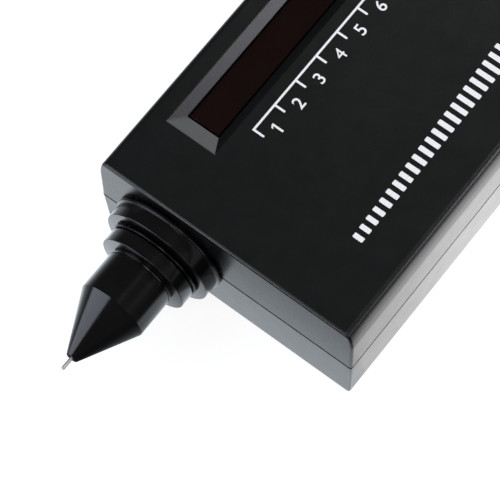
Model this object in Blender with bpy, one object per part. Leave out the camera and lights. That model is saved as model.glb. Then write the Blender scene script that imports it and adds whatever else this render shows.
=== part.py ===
"""A hand-held thermal diamond tester, modelled as the pieces that it is assembled from.

Lengths are in metres. X runs from the probe (-X) to the tail, Y across the case with the display
on the +Y side, and Z up through the display face. Sizes along X count from the case's front edge,
and the empty called tester shifts the whole assembly so that the origin is under its middle.
"""

import math
from collections import namedtuple

import bmesh
import bpy
from mathutils import Vector

# Fits, cuts and facets
SEAT_GAP = 0.0003
OVERRUN = 0.001
MERGE_DISTANCE = 0.000001
FINE_SIDES = 36
ROUND_SIDES = 16
SMALL_SIDES = 8
THIN_SIDES = 6
ARC_STEPS = 2
SMOOTH_ANGLE = math.radians(32)

# Moulded case: wall, draft as a slope, the long sides' shoulders, edges and parting line
WALL = 0.0022
UPPER_DRAFT = 0.0335
LOWER_END_DRAFT = 0.012
LOWER_SIDE_DRAFT = 0.042
SHOULDER_HEIGHT = 0.0056
SHOULDER_DRAW = 0.00105
SHOULDER_STEPS = 3
LONG_EDGE_RADIUS = 0.00125
END_EDGE_RADIUS = 0.0007
UPRIGHT_RADIUS = 0.0005
BACK_EDGE_RADIUS = 0.0006
UPPER_FOOT_RADIUS = 0.00025
LOWER_HEAD_RADIUS = 0.0001
EDGE_SEGMENTS = 3
TONGUE_INSET = 0.0013
TONGUE_HEIGHT = 0.0012
TONGUE_CLEARANCE = 0.0004

# Nine-volt battery, its two snaps and the strip that plugs on them
BATTERY_LENGTH = 0.0464
BATTERY_WIDTH = 0.0265
BATTERY_THICKNESS = 0.0175
BATTERY_EDGE_RADIUS = 0.0022
BATTERY_END_GAP = 0.0015
TERMINAL_HEIGHT = 0.0019
TERMINAL_PITCH = 0.0127
STUD_RADIUS = 0.00285
SOCKET_RADIUS = 0.0032
SOCKET_WALL = 0.0011
SNAP_THICKNESS = 0.0021
SNAP_HEIGHT = 0.012
SNAP_SIDE_MARGIN = 0.0005

# Circuit board and the display over it
BOARD_THICKNESS = 0.0016
BOARD_CLEARANCE = 0.0004
BOARD_FRONT = 0.008
BOARD_EDGE_GAP = 0.0012
LED_COUNT = 12
GREEN_LEDS = 3
NOT_RED_LEDS = 6
LED_PITCH = 0.00635
LED_WIDTH = 0.002
LED_DEPTH = 0.005
LED_HEIGHT = 0.0017
LED_EDGE = 0.00025
SCALE_START = 0.0222
WINDOW_END_MARGIN = 0.004565
WINDOW_WIDTH = 0.00731
WINDOW_CENTRE_INSET = 0.010295
WINDOW_THICKNESS = 0.00193
WINDOW_RIM = 0.0015
WINDOW_LEDGE = 0.0008
RECESS_DEPTH = 0.00177
RECESS_SIDE_BEVEL = 0.00209
RECESS_END_BEVEL = 0.00369
FRAME_WALL = 0.0014
FRAME_DEPTH = 0.001
READY_LED_RADIUS = 0.0015
READY_LED_RIM = 0.0004
READY_LED_RIM_HEIGHT = 0.001
READY_LED_FROM_TAIL = 0.02
READY_LED_FROM_BATTERY_MIDDLE = 0.00375

# Setting wheel in the tail and the switched potentiometer that it turns
WHEEL_DIAMETER = 0.02
WHEEL_THICKNESS = 0.004
WHEEL_PROTRUSION = 0.003
WHEEL_NOTCHES = 24
WHEEL_NOTCH_DEPTH = 0.0004
WHEEL_EDGE = 0.0004
WHEEL_DISH_DEPTH = 0.0006
WHEEL_RIM_WIDTH = 0.0022
WHEEL_WALL_GAP = 0.00105
WHEEL_BATTERY_GAP = 0.0028
WHEEL_SLOT_CLEARANCE = 0.0005
DIAL_SHAFT_RADIUS = 0.0015
DIAL_SHAFT_DEPTH = 0.0012
DIAL_SHAFT_SHORT = 0.0005
DIAL_SWITCH_WALL_GAP = 0.0002
DIAL_SWITCH_GAP = 0.0009
WHEEL_SCREW_HEAD_RADIUS = 0.003
WHEEL_SCREW_HEAD_HEIGHT = 0.0009
WHEEL_SCREW_RADIUS = 0.0006
WHEEL_SCREW_DEPTH = 0.0028

# Battery door, which slides out of the tail along the rails in the lower shell
ELECTRONICS_LENGTH = 0.093
BAY_WALL = 0.0012
BAY_WALL_DROP = 0.0015
DOOR_WEB = 0.0008
DOOR_FLANGE = 0.0012
DOOR_FLANGE_THICKNESS = 0.0012
DOOR_GUIDE_GAP = 0.00045
DOOR_SINK = 0.0002
NOTCH_GAP = 0.0002
RAIL_LIP_THICKNESS = 0.0012
RAIL_FOOT_WIDTH = 0.001
GRIP_GROOVES = 6
GRIP_PITCH = 0.0018
GRIP_WIDTH = 0.0009
GRIP_DEPTH = 0.0006
GRIP_LENGTH = 0.013
GRIP_FROM_TAIL = 0.008

# Screws: four through the back into bosses, three that hold the board to posts
CASE_SCREW_RADIUS = 0.0012
CASE_SCREW_HEAD_RADIUS = 0.0023
CASE_SCREW_HEAD_HEIGHT = 0.002
CASE_SCREW_REACH = 0.008
CASE_SCREW_RECESS = 0.0075
CASE_SCREW_RECESS_WALL = 0.0012
CASE_SCREW_FRONT_X = 0.0108
UPPER_BOSS_RADIUS = 0.003
BOSS_WALL_GAP = 0.00015
BOSS_END_GAP = 0.001
BOARD_NOTCH_GAP = 0.0006
BOARD_SCREW_RADIUS = 0.0009
BOARD_SCREW_HEAD_RADIUS = 0.002
BOARD_SCREW_HEAD_HEIGHT = 0.0014
BOARD_SCREW_REACH = 0.0024
BOARD_POST_RADIUS = 0.0026

# Probe: everything turned on one axis, which lies in the parting plane
PROBE_INSET = 0.0159
COLLAR_BASE_RADIUS = 0.0122
COLLAR_BASE_LENGTH = 0.0006
COLLAR_RADIUS = 0.01175
COLLAR_LENGTH = 0.0041
COLLAR_NECK_RADIUS = 0.009
COLLAR_BACK_RADIUS = 0.0112
COLLAR_BACK_LENGTH = 0.002
COLLAR_EDGE = 0.0003
WASHER_RADIUS = 0.0098
WASHER_LENGTH = 0.0004
NOSE_FLANGE_RADIUS = 0.0095
NOSE_FLANGE_LENGTH = 0.0031
NOSE_NECK_RADIUS = 0.0066
NOSE_NECK_LENGTH = 0.0005
NOSE_BARREL_RADIUS = 0.00705
NOSE_BARREL_LENGTH = 0.0089
NOSE_CONE_LENGTH = 0.0114
NOSE_TIP_RADIUS = 0.00141
NOSE_TIP_LENGTH = 0.0005
SPIGOT_RADIUS = 0.0069
SPIGOT_BORE_RADIUS = 0.0052
SPIGOT_BORE_LENGTH = 0.0037
SLIDE_BORE_RADIUS = 0.0042
SLIDE_BORE_INTO_BARREL = 0.007
SHANK_BORE_RADIUS = 0.0015
SHANK_BORE_INTO_CONE = 0.0091
PIN_RADIUS = 0.00035
PIN_REACH = 0.0026
PIN_POINT_LENGTH = 0.0005
PIN_POINT_RADIUS = 0.00012
PIN_SHANK_RADIUS = 0.0009
PIN_SHANK_CLEARANCE = 0.0005
CARRIER_LENGTH = 0.0117
CARRIER_SOCKET_DEPTH = 0.004
CARRIER_POCKET_RADIUS = 0.0024
CARRIER_POCKET_DEPTH = 0.0054
SENSOR_RADIUS = 0.00085
SENSOR_LENGTH = 0.0015
HEATER_RADIUS = 0.002
HEATER_LENGTH = 0.0029
SPRING_RADIUS = 0.0031
SPRING_WIRE_RADIUS = 0.0003
SPRING_TURNS = 4
SPRING_POINTS_PER_TURN = 10
PLUG_BODY_LENGTH = 0.0034
PLUG_FLANGE_RADIUS = 0.0065
PLUG_FLANGE_LENGTH = 0.0012
PLUG_HOLE_RADIUS = 0.0012

# Parts soldered under the board
CHIP_WIDTH = 0.0064
CHIP_BODY_HEIGHT = 0.003
CHIP_LEG_PITCH = 0.00254
CHIP_LEG_WIDTH = 0.0008
CHIP_LEG_THICKNESS = 0.0005
CHIP_END = 0.0013
DRIVER_CHIP_PITCH = 0.0262
DRIVER_CHIP_NAMES = ("driver_chip_a", "driver_chip_b")
DRIVER_LEGS_A_SIDE = 9
AMPLIFIER_LEGS_A_SIDE = 4
CAPACITOR_RADIUS = 0.0026
CAPACITOR_HEIGHT = 0.0065
CAPACITOR_EDGE = 0.0004
RESISTOR_RADIUS = 0.00115
RESISTOR_WAIST_RADIUS = 0.0009
RESISTOR_LENGTH = 0.0063
RESISTOR_LEAD_RADIUS = 0.0003
RESISTOR_LEAD_LENGTH = 0.0018
RESISTOR_PITCH = 0.003
RESISTOR_COUNT = 4
TRIMMER_LENGTH = 0.0095
TRIMMER_WIDTH = 0.0048
TRIMMER_HEIGHT = 0.0045
TRIMMER_SCREW_RADIUS = 0.0011
TRIMMER_SCREW_DEPTH = 0.0005
TRIMMER_PITCH = 0.008
TRIMMER_COUNT = 2
BUZZER_RADIUS = 0.006
BUZZER_HEIGHT = 0.006
BUZZER_EDGE = 0.0005
BUZZER_HOLE_RADIUS = 0.001
BUZZER_HOLE_DEPTH = 0.0012

# Places of parts on the board, as shares of the electronics bay's length and of half the width
DRIVER_CHIPS_X_SHARE = 0.66
DRIVER_CHIPS_Y_SHARE = 0.28
AMPLIFIER_CHIP_X_SHARE = 0.365
AMPLIFIER_CHIP_Y_SHARE = -0.07
CAPACITOR_X_SHARES = (0.21, 0.29, 0.37)
CAPACITOR_Y_SHARE = -0.626
RESISTORS_X_SHARE = 0.485
RESISTORS_Y_SHARE = -0.52
TRIMMERS_X_SHARE = 0.78
TRIMMERS_Y_SHARE = -0.33
BUZZER_X_SHARE = 0.634
BUZZER_Y_SHARE = -0.4
BOARD_SCREW_FRONT_X = 0.028
BOARD_SCREW_FRONT_Y_SHARE = -0.417
BOARD_SCREW_BEFORE_BAY = 0.01
BOARD_SCREW_PAST_BAY = 0.023
BOARD_SCREW_TAIL_Y_SHARE = 0.417

# Wires
WIRE_RADIUS = 0.0006
WIRE_SPREAD = 0.0025
WIRE_HEIGHT_OVER_BAY_WALL = 0.004
WIRE_LANDING_DISTANCE = 0.007
PROBE_WIRE_RADIUS = 0.00035
PROBE_WIRE_SPREAD = 0.0005
PROBE_WIRE_LANDING_X = 0.018
PROBE_WIRE_LANDING_OFFSET = 0.003
WIRE_POINTS = 8
WIRE_PULL_SHARE = 0.55

# Case size, as the sum of what it holds
DOOR_EDGE_SPACE = 2 * SEAT_GAP + DOOR_WEB + DOOR_FLANGE + DOOR_GUIDE_GAP
CASE_WIDTH = (2 * WALL + WHEEL_WALL_GAP + WHEEL_DIAMETER + WHEEL_BATTERY_GAP
              + BATTERY_WIDTH + DOOR_EDGE_SPACE)
CASE_THICKNESS = (WALL + BATTERY_THICKNESS + BOARD_CLEARANCE + BOARD_THICKNESS + LED_HEIGHT
                  + WINDOW_THICKNESS + RECESS_DEPTH + 3 * SEAT_GAP)
CASE_LENGTH = (ELECTRONICS_LENGTH + SNAP_THICKNESS + TERMINAL_HEIGHT + BATTERY_LENGTH
               + BATTERY_END_GAP + WALL + 3 * SEAT_GAP)
HALF_WIDTH = CASE_WIDTH / 2
PARTING_Z = CASE_THICKNESS / 2
UPPER_FOOT_Z = PARTING_Z + SEAT_GAP / 2
LOWER_HEAD_Z = PARTING_Z - SEAT_GAP / 2
PARTING_FLARE = (CASE_THICKNESS - PARTING_Z) * UPPER_DRAFT
UPPER_CEILING_Z = CASE_THICKNESS - WALL

# Heights of the board and of what lies on it
BATTERY_Z = WALL + SEAT_GAP
BOARD_FOOT_Z = BATTERY_Z + BATTERY_THICKNESS + BOARD_CLEARANCE
BOARD_HEAD_Z = BOARD_FOOT_Z + BOARD_THICKNESS
LED_FOOT_Z = BOARD_HEAD_Z + SEAT_GAP
LED_HEAD_Z = LED_FOOT_Z + LED_HEIGHT
WINDOW_FOOT_Z = LED_HEAD_Z + SEAT_GAP
WINDOW_HEAD_Z = WINDOW_FOOT_Z + WINDOW_THICKNESS
RIM_HEAD_Z = WINDOW_HEAD_Z - WINDOW_LEDGE - SEAT_GAP
UNDER_BOARD_Z = BOARD_FOOT_Z - SEAT_GAP

# Display, battery and wheel in plan
WINDOW_Y = HALF_WIDTH - WINDOW_CENTRE_INSET
WINDOW_FRONT_X = SCALE_START - WINDOW_END_MARGIN
WINDOW_BACK_X = SCALE_START + LED_COUNT * LED_PITCH + WINDOW_END_MARGIN
BATTERY_BACK_X = CASE_LENGTH - WALL - BATTERY_END_GAP
BATTERY_FRONT_X = BATTERY_BACK_X - BATTERY_LENGTH
BATTERY_LOW_Y = -HALF_WIDTH + WALL + DOOR_EDGE_SPACE
BATTERY_HIGH_Y = BATTERY_LOW_Y + BATTERY_WIDTH
BATTERY_Y = (BATTERY_LOW_Y + BATTERY_HIGH_Y) / 2
BATTERY_MIDDLE_Z = BATTERY_Z + BATTERY_THICKNESS / 2
OPENING_LOW_Y = BATTERY_LOW_Y - 2 * SEAT_GAP - DOOR_WEB
OPENING_HIGH_Y = BATTERY_HIGH_Y + 2 * SEAT_GAP + DOOR_WEB
FLANGE_LOW_Y = OPENING_LOW_Y - DOOR_FLANGE
FLANGE_HIGH_Y = OPENING_HIGH_Y + DOOR_FLANGE
FLANGE_FOOT_Z = WALL + SEAT_GAP
FLANGE_HEAD_Z = FLANGE_FOOT_Z + DOOR_FLANGE_THICKNESS
RAIL_FOOT_Z = FLANGE_HEAD_Z + SEAT_GAP
RAIL_HEAD_Z = RAIL_FOOT_Z + RAIL_LIP_THICKNESS
WHEEL_RADIUS = WHEEL_DIAMETER / 2
WHEEL_X = CASE_LENGTH + WHEEL_PROTRUSION - WHEEL_RADIUS
WHEEL_Y = HALF_WIDTH - WALL - WHEEL_WALL_GAP - WHEEL_RADIUS
DIAL_SWITCH_WIDTH = 2 * (WHEEL_RADIUS - WHEEL_PROTRUSION - WALL - DIAL_SWITCH_WALL_GAP)
READY_LED_X = CASE_LENGTH - READY_LED_FROM_TAIL
READY_LED_Y = BATTERY_Y - READY_LED_FROM_BATTERY_MIDDLE
BAY_WALL_HEAD_Z = PARTING_Z - WHEEL_THICKNESS / 2 - BAY_WALL_DROP
SNAP_FRONT_X = ELECTRONICS_LENGTH + SEAT_GAP
SNAP_BACK_X = SNAP_FRONT_X + SNAP_THICKNESS

# Screw places, as pairs of X and Y
LOWER_BOSS_RADIUS = CASE_SCREW_HEAD_RADIUS + SEAT_GAP + CASE_SCREW_RECESS_WALL
CASE_SCREW_Y = HALF_WIDTH - WALL - LOWER_BOSS_RADIUS - BOSS_WALL_GAP
CASE_SCREW_BAY_X = ELECTRONICS_LENGTH - BAY_WALL - BOSS_END_GAP - LOWER_BOSS_RADIUS
CASE_SCREW_WHEEL_X = WHEEL_X - WHEEL_RADIUS - BOSS_END_GAP - LOWER_BOSS_RADIUS
CASE_SCREW_PLACES = (
    (CASE_SCREW_FRONT_X, -CASE_SCREW_Y),
    (CASE_SCREW_FRONT_X, CASE_SCREW_Y),
    (CASE_SCREW_BAY_X, -CASE_SCREW_Y),
    (CASE_SCREW_WHEEL_X, CASE_SCREW_Y),
)
BOARD_SCREW_PLACES = (
    (BOARD_SCREW_FRONT_X, BOARD_SCREW_FRONT_Y_SHARE * HALF_WIDTH),
    (ELECTRONICS_LENGTH - BOARD_SCREW_BEFORE_BAY, BATTERY_Y),
    (ELECTRONICS_LENGTH + BOARD_SCREW_PAST_BAY, BOARD_SCREW_TAIL_Y_SHARE * HALF_WIDTH),
)

# Stations along the probe's axis, from the case forward
PROBE_Y = HALF_WIDTH - PROBE_INSET
COLLAR_SEAT_X = -PARTING_FLARE - SEAT_GAP
COLLAR_HEAD_X = COLLAR_SEAT_X - COLLAR_LENGTH
COLLAR_BACK_X = WALL + SEAT_GAP
COLLAR_TAIL_X = COLLAR_BACK_X + COLLAR_BACK_LENGTH
WASHER_BACK_X = COLLAR_HEAD_X - SEAT_GAP
WASHER_HEAD_X = WASHER_BACK_X - WASHER_LENGTH
NOSE_SEAT_X = WASHER_HEAD_X - SEAT_GAP
NOSE_FLANGE_X = NOSE_SEAT_X - NOSE_FLANGE_LENGTH
BARREL_BACK_X = NOSE_FLANGE_X - NOSE_NECK_LENGTH
BARREL_HEAD_X = NOSE_FLANGE_X - NOSE_BARREL_LENGTH
CONE_HEAD_X = BARREL_HEAD_X - NOSE_CONE_LENGTH
NOSE_HEAD_X = CONE_HEAD_X - NOSE_TIP_LENGTH
SPIGOT_TAIL_X = COLLAR_TAIL_X - SEAT_GAP
BORE_RADIUS = SPIGOT_RADIUS + SEAT_GAP
SPIGOT_BORE_X = SPIGOT_TAIL_X - SPIGOT_BORE_LENGTH
SLIDE_STOP_X = NOSE_FLANGE_X - SLIDE_BORE_INTO_BARREL
SHANK_STOP_X = BARREL_HEAD_X - SHANK_BORE_INTO_CONE
TIP_BORE_RADIUS = PIN_RADIUS + SEAT_GAP
PIN_HEAD_X = NOSE_HEAD_X - PIN_REACH
CARRIER_HEAD_X = SLIDE_STOP_X + SEAT_GAP
CARRIER_TAIL_X = CARRIER_HEAD_X + CARRIER_LENGTH
CARRIER_POCKET_X = CARRIER_TAIL_X - CARRIER_POCKET_DEPTH
PIN_TAIL_X = CARRIER_HEAD_X + CARRIER_SOCKET_DEPTH
PLUG_TAIL_X = SPIGOT_TAIL_X + SEAT_GAP
PLUG_HEAD_X = PLUG_TAIL_X - PLUG_BODY_LENGTH

Outline = namedtuple("Outline", "x0 x1 y0 y1 z")

# Colour, roughness and metallic value of each finish
FINISHES = {
    "case_black": ((0.012, 0.013, 0.014, 1), 0.32, 0),
    "probe_black": ((0.006, 0.006, 0.007, 1), 0.16, 0),
    "window_red": ((0.045, 0.004, 0.005, 1), 0.06, 0),
    "pin_metal": ((0.55, 0.5, 0.46, 1), 0.28, 1),
    "brass": ((0.72, 0.5, 0.2, 1), 0.3, 1),
    "steel": ((0.56, 0.57, 0.58, 1), 0.3, 1),
    "board_green": ((0.02, 0.16, 0.06, 1), 0.45, 0),
    "lamp_green": ((0.1, 0.7, 0.15, 1), 0.2, 0),
    "lamp_yellow": ((0.85, 0.65, 0.05, 1), 0.2, 0),
    "lamp_red": ((0.75, 0.03, 0.02, 1), 0.2, 0),
    "holder_black": ((0.01, 0.01, 0.01, 1), 0.6, 0),
    "chip_black": ((0.02, 0.02, 0.022, 1), 0.5, 0),
    "ceramic_white": ((0.8, 0.78, 0.72, 1), 0.5, 0),
    "resistor_tan": ((0.6, 0.45, 0.28, 1), 0.5, 0),
    "trimmer_blue": ((0.03, 0.12, 0.5, 1), 0.4, 0),
    "capacitor_sleeve": ((0.02, 0.03, 0.09, 1), 0.35, 0),
    "wire_red": ((0.55, 0.02, 0.02, 1), 0.45, 0),
    "wire_black": ((0.015, 0.015, 0.015, 1), 0.45, 0),
    "battery_jacket": ((0.06, 0.06, 0.065, 1), 0.35, 0),
}


# The scene starts empty, and every piece hangs on one empty that centres the assembly.
for leftover in list(bpy.data.objects):
    bpy.data.objects.remove(leftover, do_unlink=True)

tester = bpy.data.objects.new("tester", None)
bpy.context.scene.collection.objects.link(tester)
tester.location = (-(PIN_HEAD_X + WHEEL_X + WHEEL_RADIUS) / 2, 0, 0)


def finish(name):
    """The Principled material of one finish, made once."""
    made = bpy.data.materials.get(name)
    if made:
        return made
    colour, roughness, metallic = FINISHES[name]
    made = bpy.data.materials.new(name)
    made.use_nodes = True
    shader = made.node_tree.nodes["Principled BSDF"]
    shader.inputs["Base Color"].default_value = colour
    shader.inputs["Roughness"].default_value = roughness
    shader.inputs["Metallic"].default_value = metallic
    made.diffuse_color = colour
    return made


def hang(name, data, place):
    """Links an object to the scene at a place in the tester's own frame."""
    made = bpy.data.objects.new(name, data)
    bpy.context.scene.collection.objects.link(made)
    made.parent = tester
    made.location = place
    return made


def piece(name, form, finish_name, place=(0, 0, 0)):
    """A sub-part from a finished bmesh, with its faces outward and its round sides smooth."""
    bmesh.ops.recalc_face_normals(form, faces=form.faces)
    mesh = bpy.data.meshes.new(name)
    form.to_mesh(mesh)
    form.free()
    mesh.shade_smooth()
    mesh.set_sharp_from_angle(angle=SMOOTH_ANGLE)
    mesh.materials.append(finish(finish_name))
    return hang(name, mesh, place)


def tool(name, form, place=(0, 0, 0)):
    """A shape that only adds to or cuts another one: a guide, not a sub-part."""
    bmesh.ops.recalc_face_normals(form, faces=form.faces)
    mesh = bpy.data.meshes.new(name)
    form.to_mesh(mesh)
    form.free()
    made = hang(name, mesh, place)
    made.hide_render = True
    made.display_type = "WIRE"
    return made


def combine(target, shape, operation):
    """One Boolean modifier."""
    change = target.modifiers.new(shape.name, "BOOLEAN")
    change.operation = operation
    change.solver = "EXACT"
    change.object = shape


def cut(target, *shapes):
    for shape in shapes:
        combine(target, shape, "DIFFERENCE")


def add(target, *shapes):
    for shape in shapes:
        combine(target, shape, "UNION")


def loop_of(form, points):
    """A closed loop of edges through the points."""
    corners = [form.verts.new(point) for point in points]
    following = corners[1:] + corners[:1]
    return [form.edges.new(pair) for pair in zip(corners, following)]


def lofted(loops):
    """A closed solid through loops of points, bridged in turn and capped at both ends."""
    form = bmesh.new()
    rings = [loop_of(form, points) for points in loops]
    for lower, upper in zip(rings, rings[1:]):
        bmesh.ops.bridge_loops(form, edges=lower + upper)
    for ring in (rings[0], rings[-1]):
        bmesh.ops.contextual_create(form, geom=ring)
    return form


def stacked(*outlines):
    """A block through level rectangles, from the lowest up."""
    return lofted([
        [(o.x0, o.y0, o.z), (o.x1, o.y0, o.z), (o.x1, o.y1, o.z), (o.x0, o.y1, o.z)]
        for o in outlines
    ])


def block(x0, x1, y0, y1, z0, z1):
    return stacked(Outline(x0, x1, y0, y1, z0), Outline(x0, x1, y0, y1, z1))


def along_x(x0, x1, profile):
    """A bar of one section, given as points of Y and Z."""
    return lofted([[(x, y, z) for y, z in profile] for x in (x0, x1)])


def rods(places, radius, z0, z1, sides=ROUND_SIDES):
    """Upright cylinders at the given places, all in one mesh."""
    form = bmesh.new()
    for x, y in places:
        made = bmesh.ops.create_cone(form, cap_ends=True, segments=sides, radius1=radius,
                                     radius2=radius, depth=z1 - z0)
        bmesh.ops.translate(form, verts=made["verts"], vec=(x, y, (z0 + z1) / 2))
    return form


def turned(profile, axis="X", bored=False, sides=ROUND_SIDES):
    """A turned form. The profile's points are (distance along the axis, radius); a bored one is
    a closed outline clear of the axis, and any other starts and ends on it."""
    form = bmesh.new()
    along = Vector((1, 0, 0)) if axis == "X" else Vector((0, 0, 1))
    outward = Vector((0, 0, 1)) if axis == "X" else Vector((1, 0, 0))
    points = [form.verts.new(along * distance + outward * radius) for distance, radius in profile]
    edges = [form.edges.new(pair) for pair in zip(points, points[1:])]
    if bored:
        edges.append(form.edges.new((points[-1], points[0])))
    bmesh.ops.spin(form, geom=points + edges, cent=(0, 0, 0), axis=along, angle=math.tau,
                   steps=sides, use_merge=True)
    bmesh.ops.remove_doubles(form, verts=form.verts, dist=MERGE_DISTANCE)
    return form


def rounded_corner(distance, radius, size, way_in, way_out):
    """The quarter arc that rounds a profile's corner, between two unit directions."""
    corner = Vector((distance, radius))
    way_in = Vector(way_in)
    way_out = Vector(way_out)
    centre = corner + (way_out - way_in) * size
    points = []
    for step in range(ARC_STEPS + 1):
        turn = math.pi / 2 * step / ARC_STEPS
        points.append(tuple(centre + (way_in * math.sin(turn) - way_out * math.cos(turn)) * size))
    return points


def rounded_rod(length, radius, edge):
    """The profile of a plain rod that starts at 0 and has both ends rounded."""
    near = rounded_corner(0, radius, edge, (0, 1), (1, 0))
    far = rounded_corner(length, radius, edge, (1, 0), (0, -1))
    return [(0, 0)] + near + far + [(length, 0)]


def bevel_all(made, width, segments):
    """A rounding on every sharp edge of a plain block."""
    change = made.modifiers.new("edges", "BEVEL")
    change.width = width
    change.segments = segments
    change.limit_method = "ANGLE"
    return made


def wire(name, route, radius, finish_name, roundness=2):
    """A round wire along a list of points."""
    curve = bpy.data.curves.new(name, "CURVE")
    curve.dimensions = "3D"
    curve.bevel_depth = radius
    curve.bevel_resolution = roundness
    curve.use_fill_caps = True
    spline = curve.splines.new("POLY")
    spline.points.add(len(route) - 1)
    for point, place in zip(spline.points, route):
        point.co = (*place, 1)
    curve.materials.append(finish(finish_name))
    return hang(name, curve, (0, 0, 0))


def wire_route(start, leaves, end, arrives):
    """A smooth route that leaves one terminal and arrives at another in the given directions."""
    start = Vector(start)
    end = Vector(end)
    pull = (end - start).length * WIRE_PULL_SHARE
    near = start + Vector(leaves) * pull
    far = end - Vector(arrives) * pull
    points = []
    for step in range(WIRE_POINTS + 1):
        t = step / WIRE_POINTS
        s = 1 - t
        points.append(start * s**3 + near * 3 * s * s * t + far * 3 * s * t * t + end * t**3)
    return points


# Case

def upper_outline(z, inset):
    """The upper shell's outside at a height, moved in by inset."""
    flare = (CASE_THICKNESS - z) * UPPER_DRAFT - inset
    return Outline(-flare, CASE_LENGTH + flare, -HALF_WIDTH - flare, HALF_WIDTH + flare, z)


def shoulder_outlines():
    """The upper shell's outside from its foot up. The long sides stand upright and then draw in
    along a parabola, and the ends keep their straight draft."""
    outlines = []
    for step in range(-1, SHOULDER_STEPS + 1):
        rise = max(step, 0) / SHOULDER_STEPS
        z = CASE_THICKNESS - SHOULDER_HEIGHT * (1 - rise) if step >= 0 else UPPER_FOOT_Z
        reach = HALF_WIDTH + PARTING_FLARE - SHOULDER_DRAW * rise**2
        outlines.append(upper_outline(z, 0)._replace(y0=-reach, y1=reach))
    return outlines


def lower_outline(z, inset):
    """The lower shell's outside at a height, moved in by inset."""
    depth = PARTING_Z - z
    end = PARTING_FLARE - depth * LOWER_END_DRAFT - inset
    side = HALF_WIDTH + PARTING_FLARE - depth * LOWER_SIDE_DRAFT - inset
    return Outline(-end, CASE_LENGTH + end, -side, side, z)


def moulded_block(name, outlines, radii, make):
    """A block through level outlines, from the lowest up, whose foot, long head, end head and
    upright edges have their own radius."""
    form = stacked(*outlines)
    widest = max(radii.values())
    weights = form.edges.layers.float.new("bevel_weight_edge")
    foot = outlines[0].z + MERGE_DISTANCE
    head = outlines[-1].z - MERGE_DISTANCE
    for edge in form.edges:
        first, second = (corner.co for corner in edge.verts)
        if abs(first.z - second.z) > MERGE_DISTANCE:
            kind = "upright"
        elif first.z < foot:
            kind = "foot"
        elif first.z < head:
            continue
        elif abs(first.x - second.x) > abs(first.y - second.y):
            kind = "long_head"
        else:
            kind = "end_head"
        edge[weights] = radii[kind] / widest
    made = make(form)
    made.name = name
    rounding = made.modifiers.new("edges", "BEVEL")
    rounding.limit_method = "WEIGHT"
    rounding.width = widest
    rounding.segments = EDGE_SEGMENTS
    return made


def recess_outline(z):
    """The sunken display frame's sloping wall, which is the bare opening at its foot."""
    share = (z - WINDOW_HEAD_Z) / RECESS_DEPTH
    end = RECESS_END_BEVEL * share
    side = RECESS_SIDE_BEVEL * share
    return window_outline(end, side, z)


def window_outline(end, side, z):
    """The display opening, grown by end and side."""
    return Outline(WINDOW_FRONT_X - end, WINDOW_BACK_X + end,
                   WINDOW_Y - WINDOW_WIDTH / 2 - side, WINDOW_Y + WINDOW_WIDTH / 2 + side, z)


def collar_hole(name):
    """Half of it is in each shell, round the collar's neck."""
    reach = COLLAR_BACK_X + OVERRUN
    start = COLLAR_SEAT_X - OVERRUN
    radius = COLLAR_NECK_RADIUS + SEAT_GAP
    profile = [(start, 0), (start, radius), (reach, radius), (reach, 0)]
    return tool(name, turned(profile, sides=FINE_SIDES), (0, PROBE_Y, PARTING_Z))


def wheel_slot(name):
    """Half of it is in each shell, where the wheel's rim comes out of the tail."""
    inner_x = CASE_LENGTH - WALL
    half = math.sqrt(WHEEL_RADIUS**2 - (inner_x - WHEEL_X)**2) + WHEEL_SLOT_CLEARANCE
    rise = WHEEL_THICKNESS / 2 + WHEEL_SLOT_CLEARANCE
    return tool(name, block(inner_x - OVERRUN, CASE_LENGTH + PARTING_FLARE + OVERRUN,
                            WHEEL_Y - half, WHEEL_Y + half, PARTING_Z - rise, PARTING_Z + rise))


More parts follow.
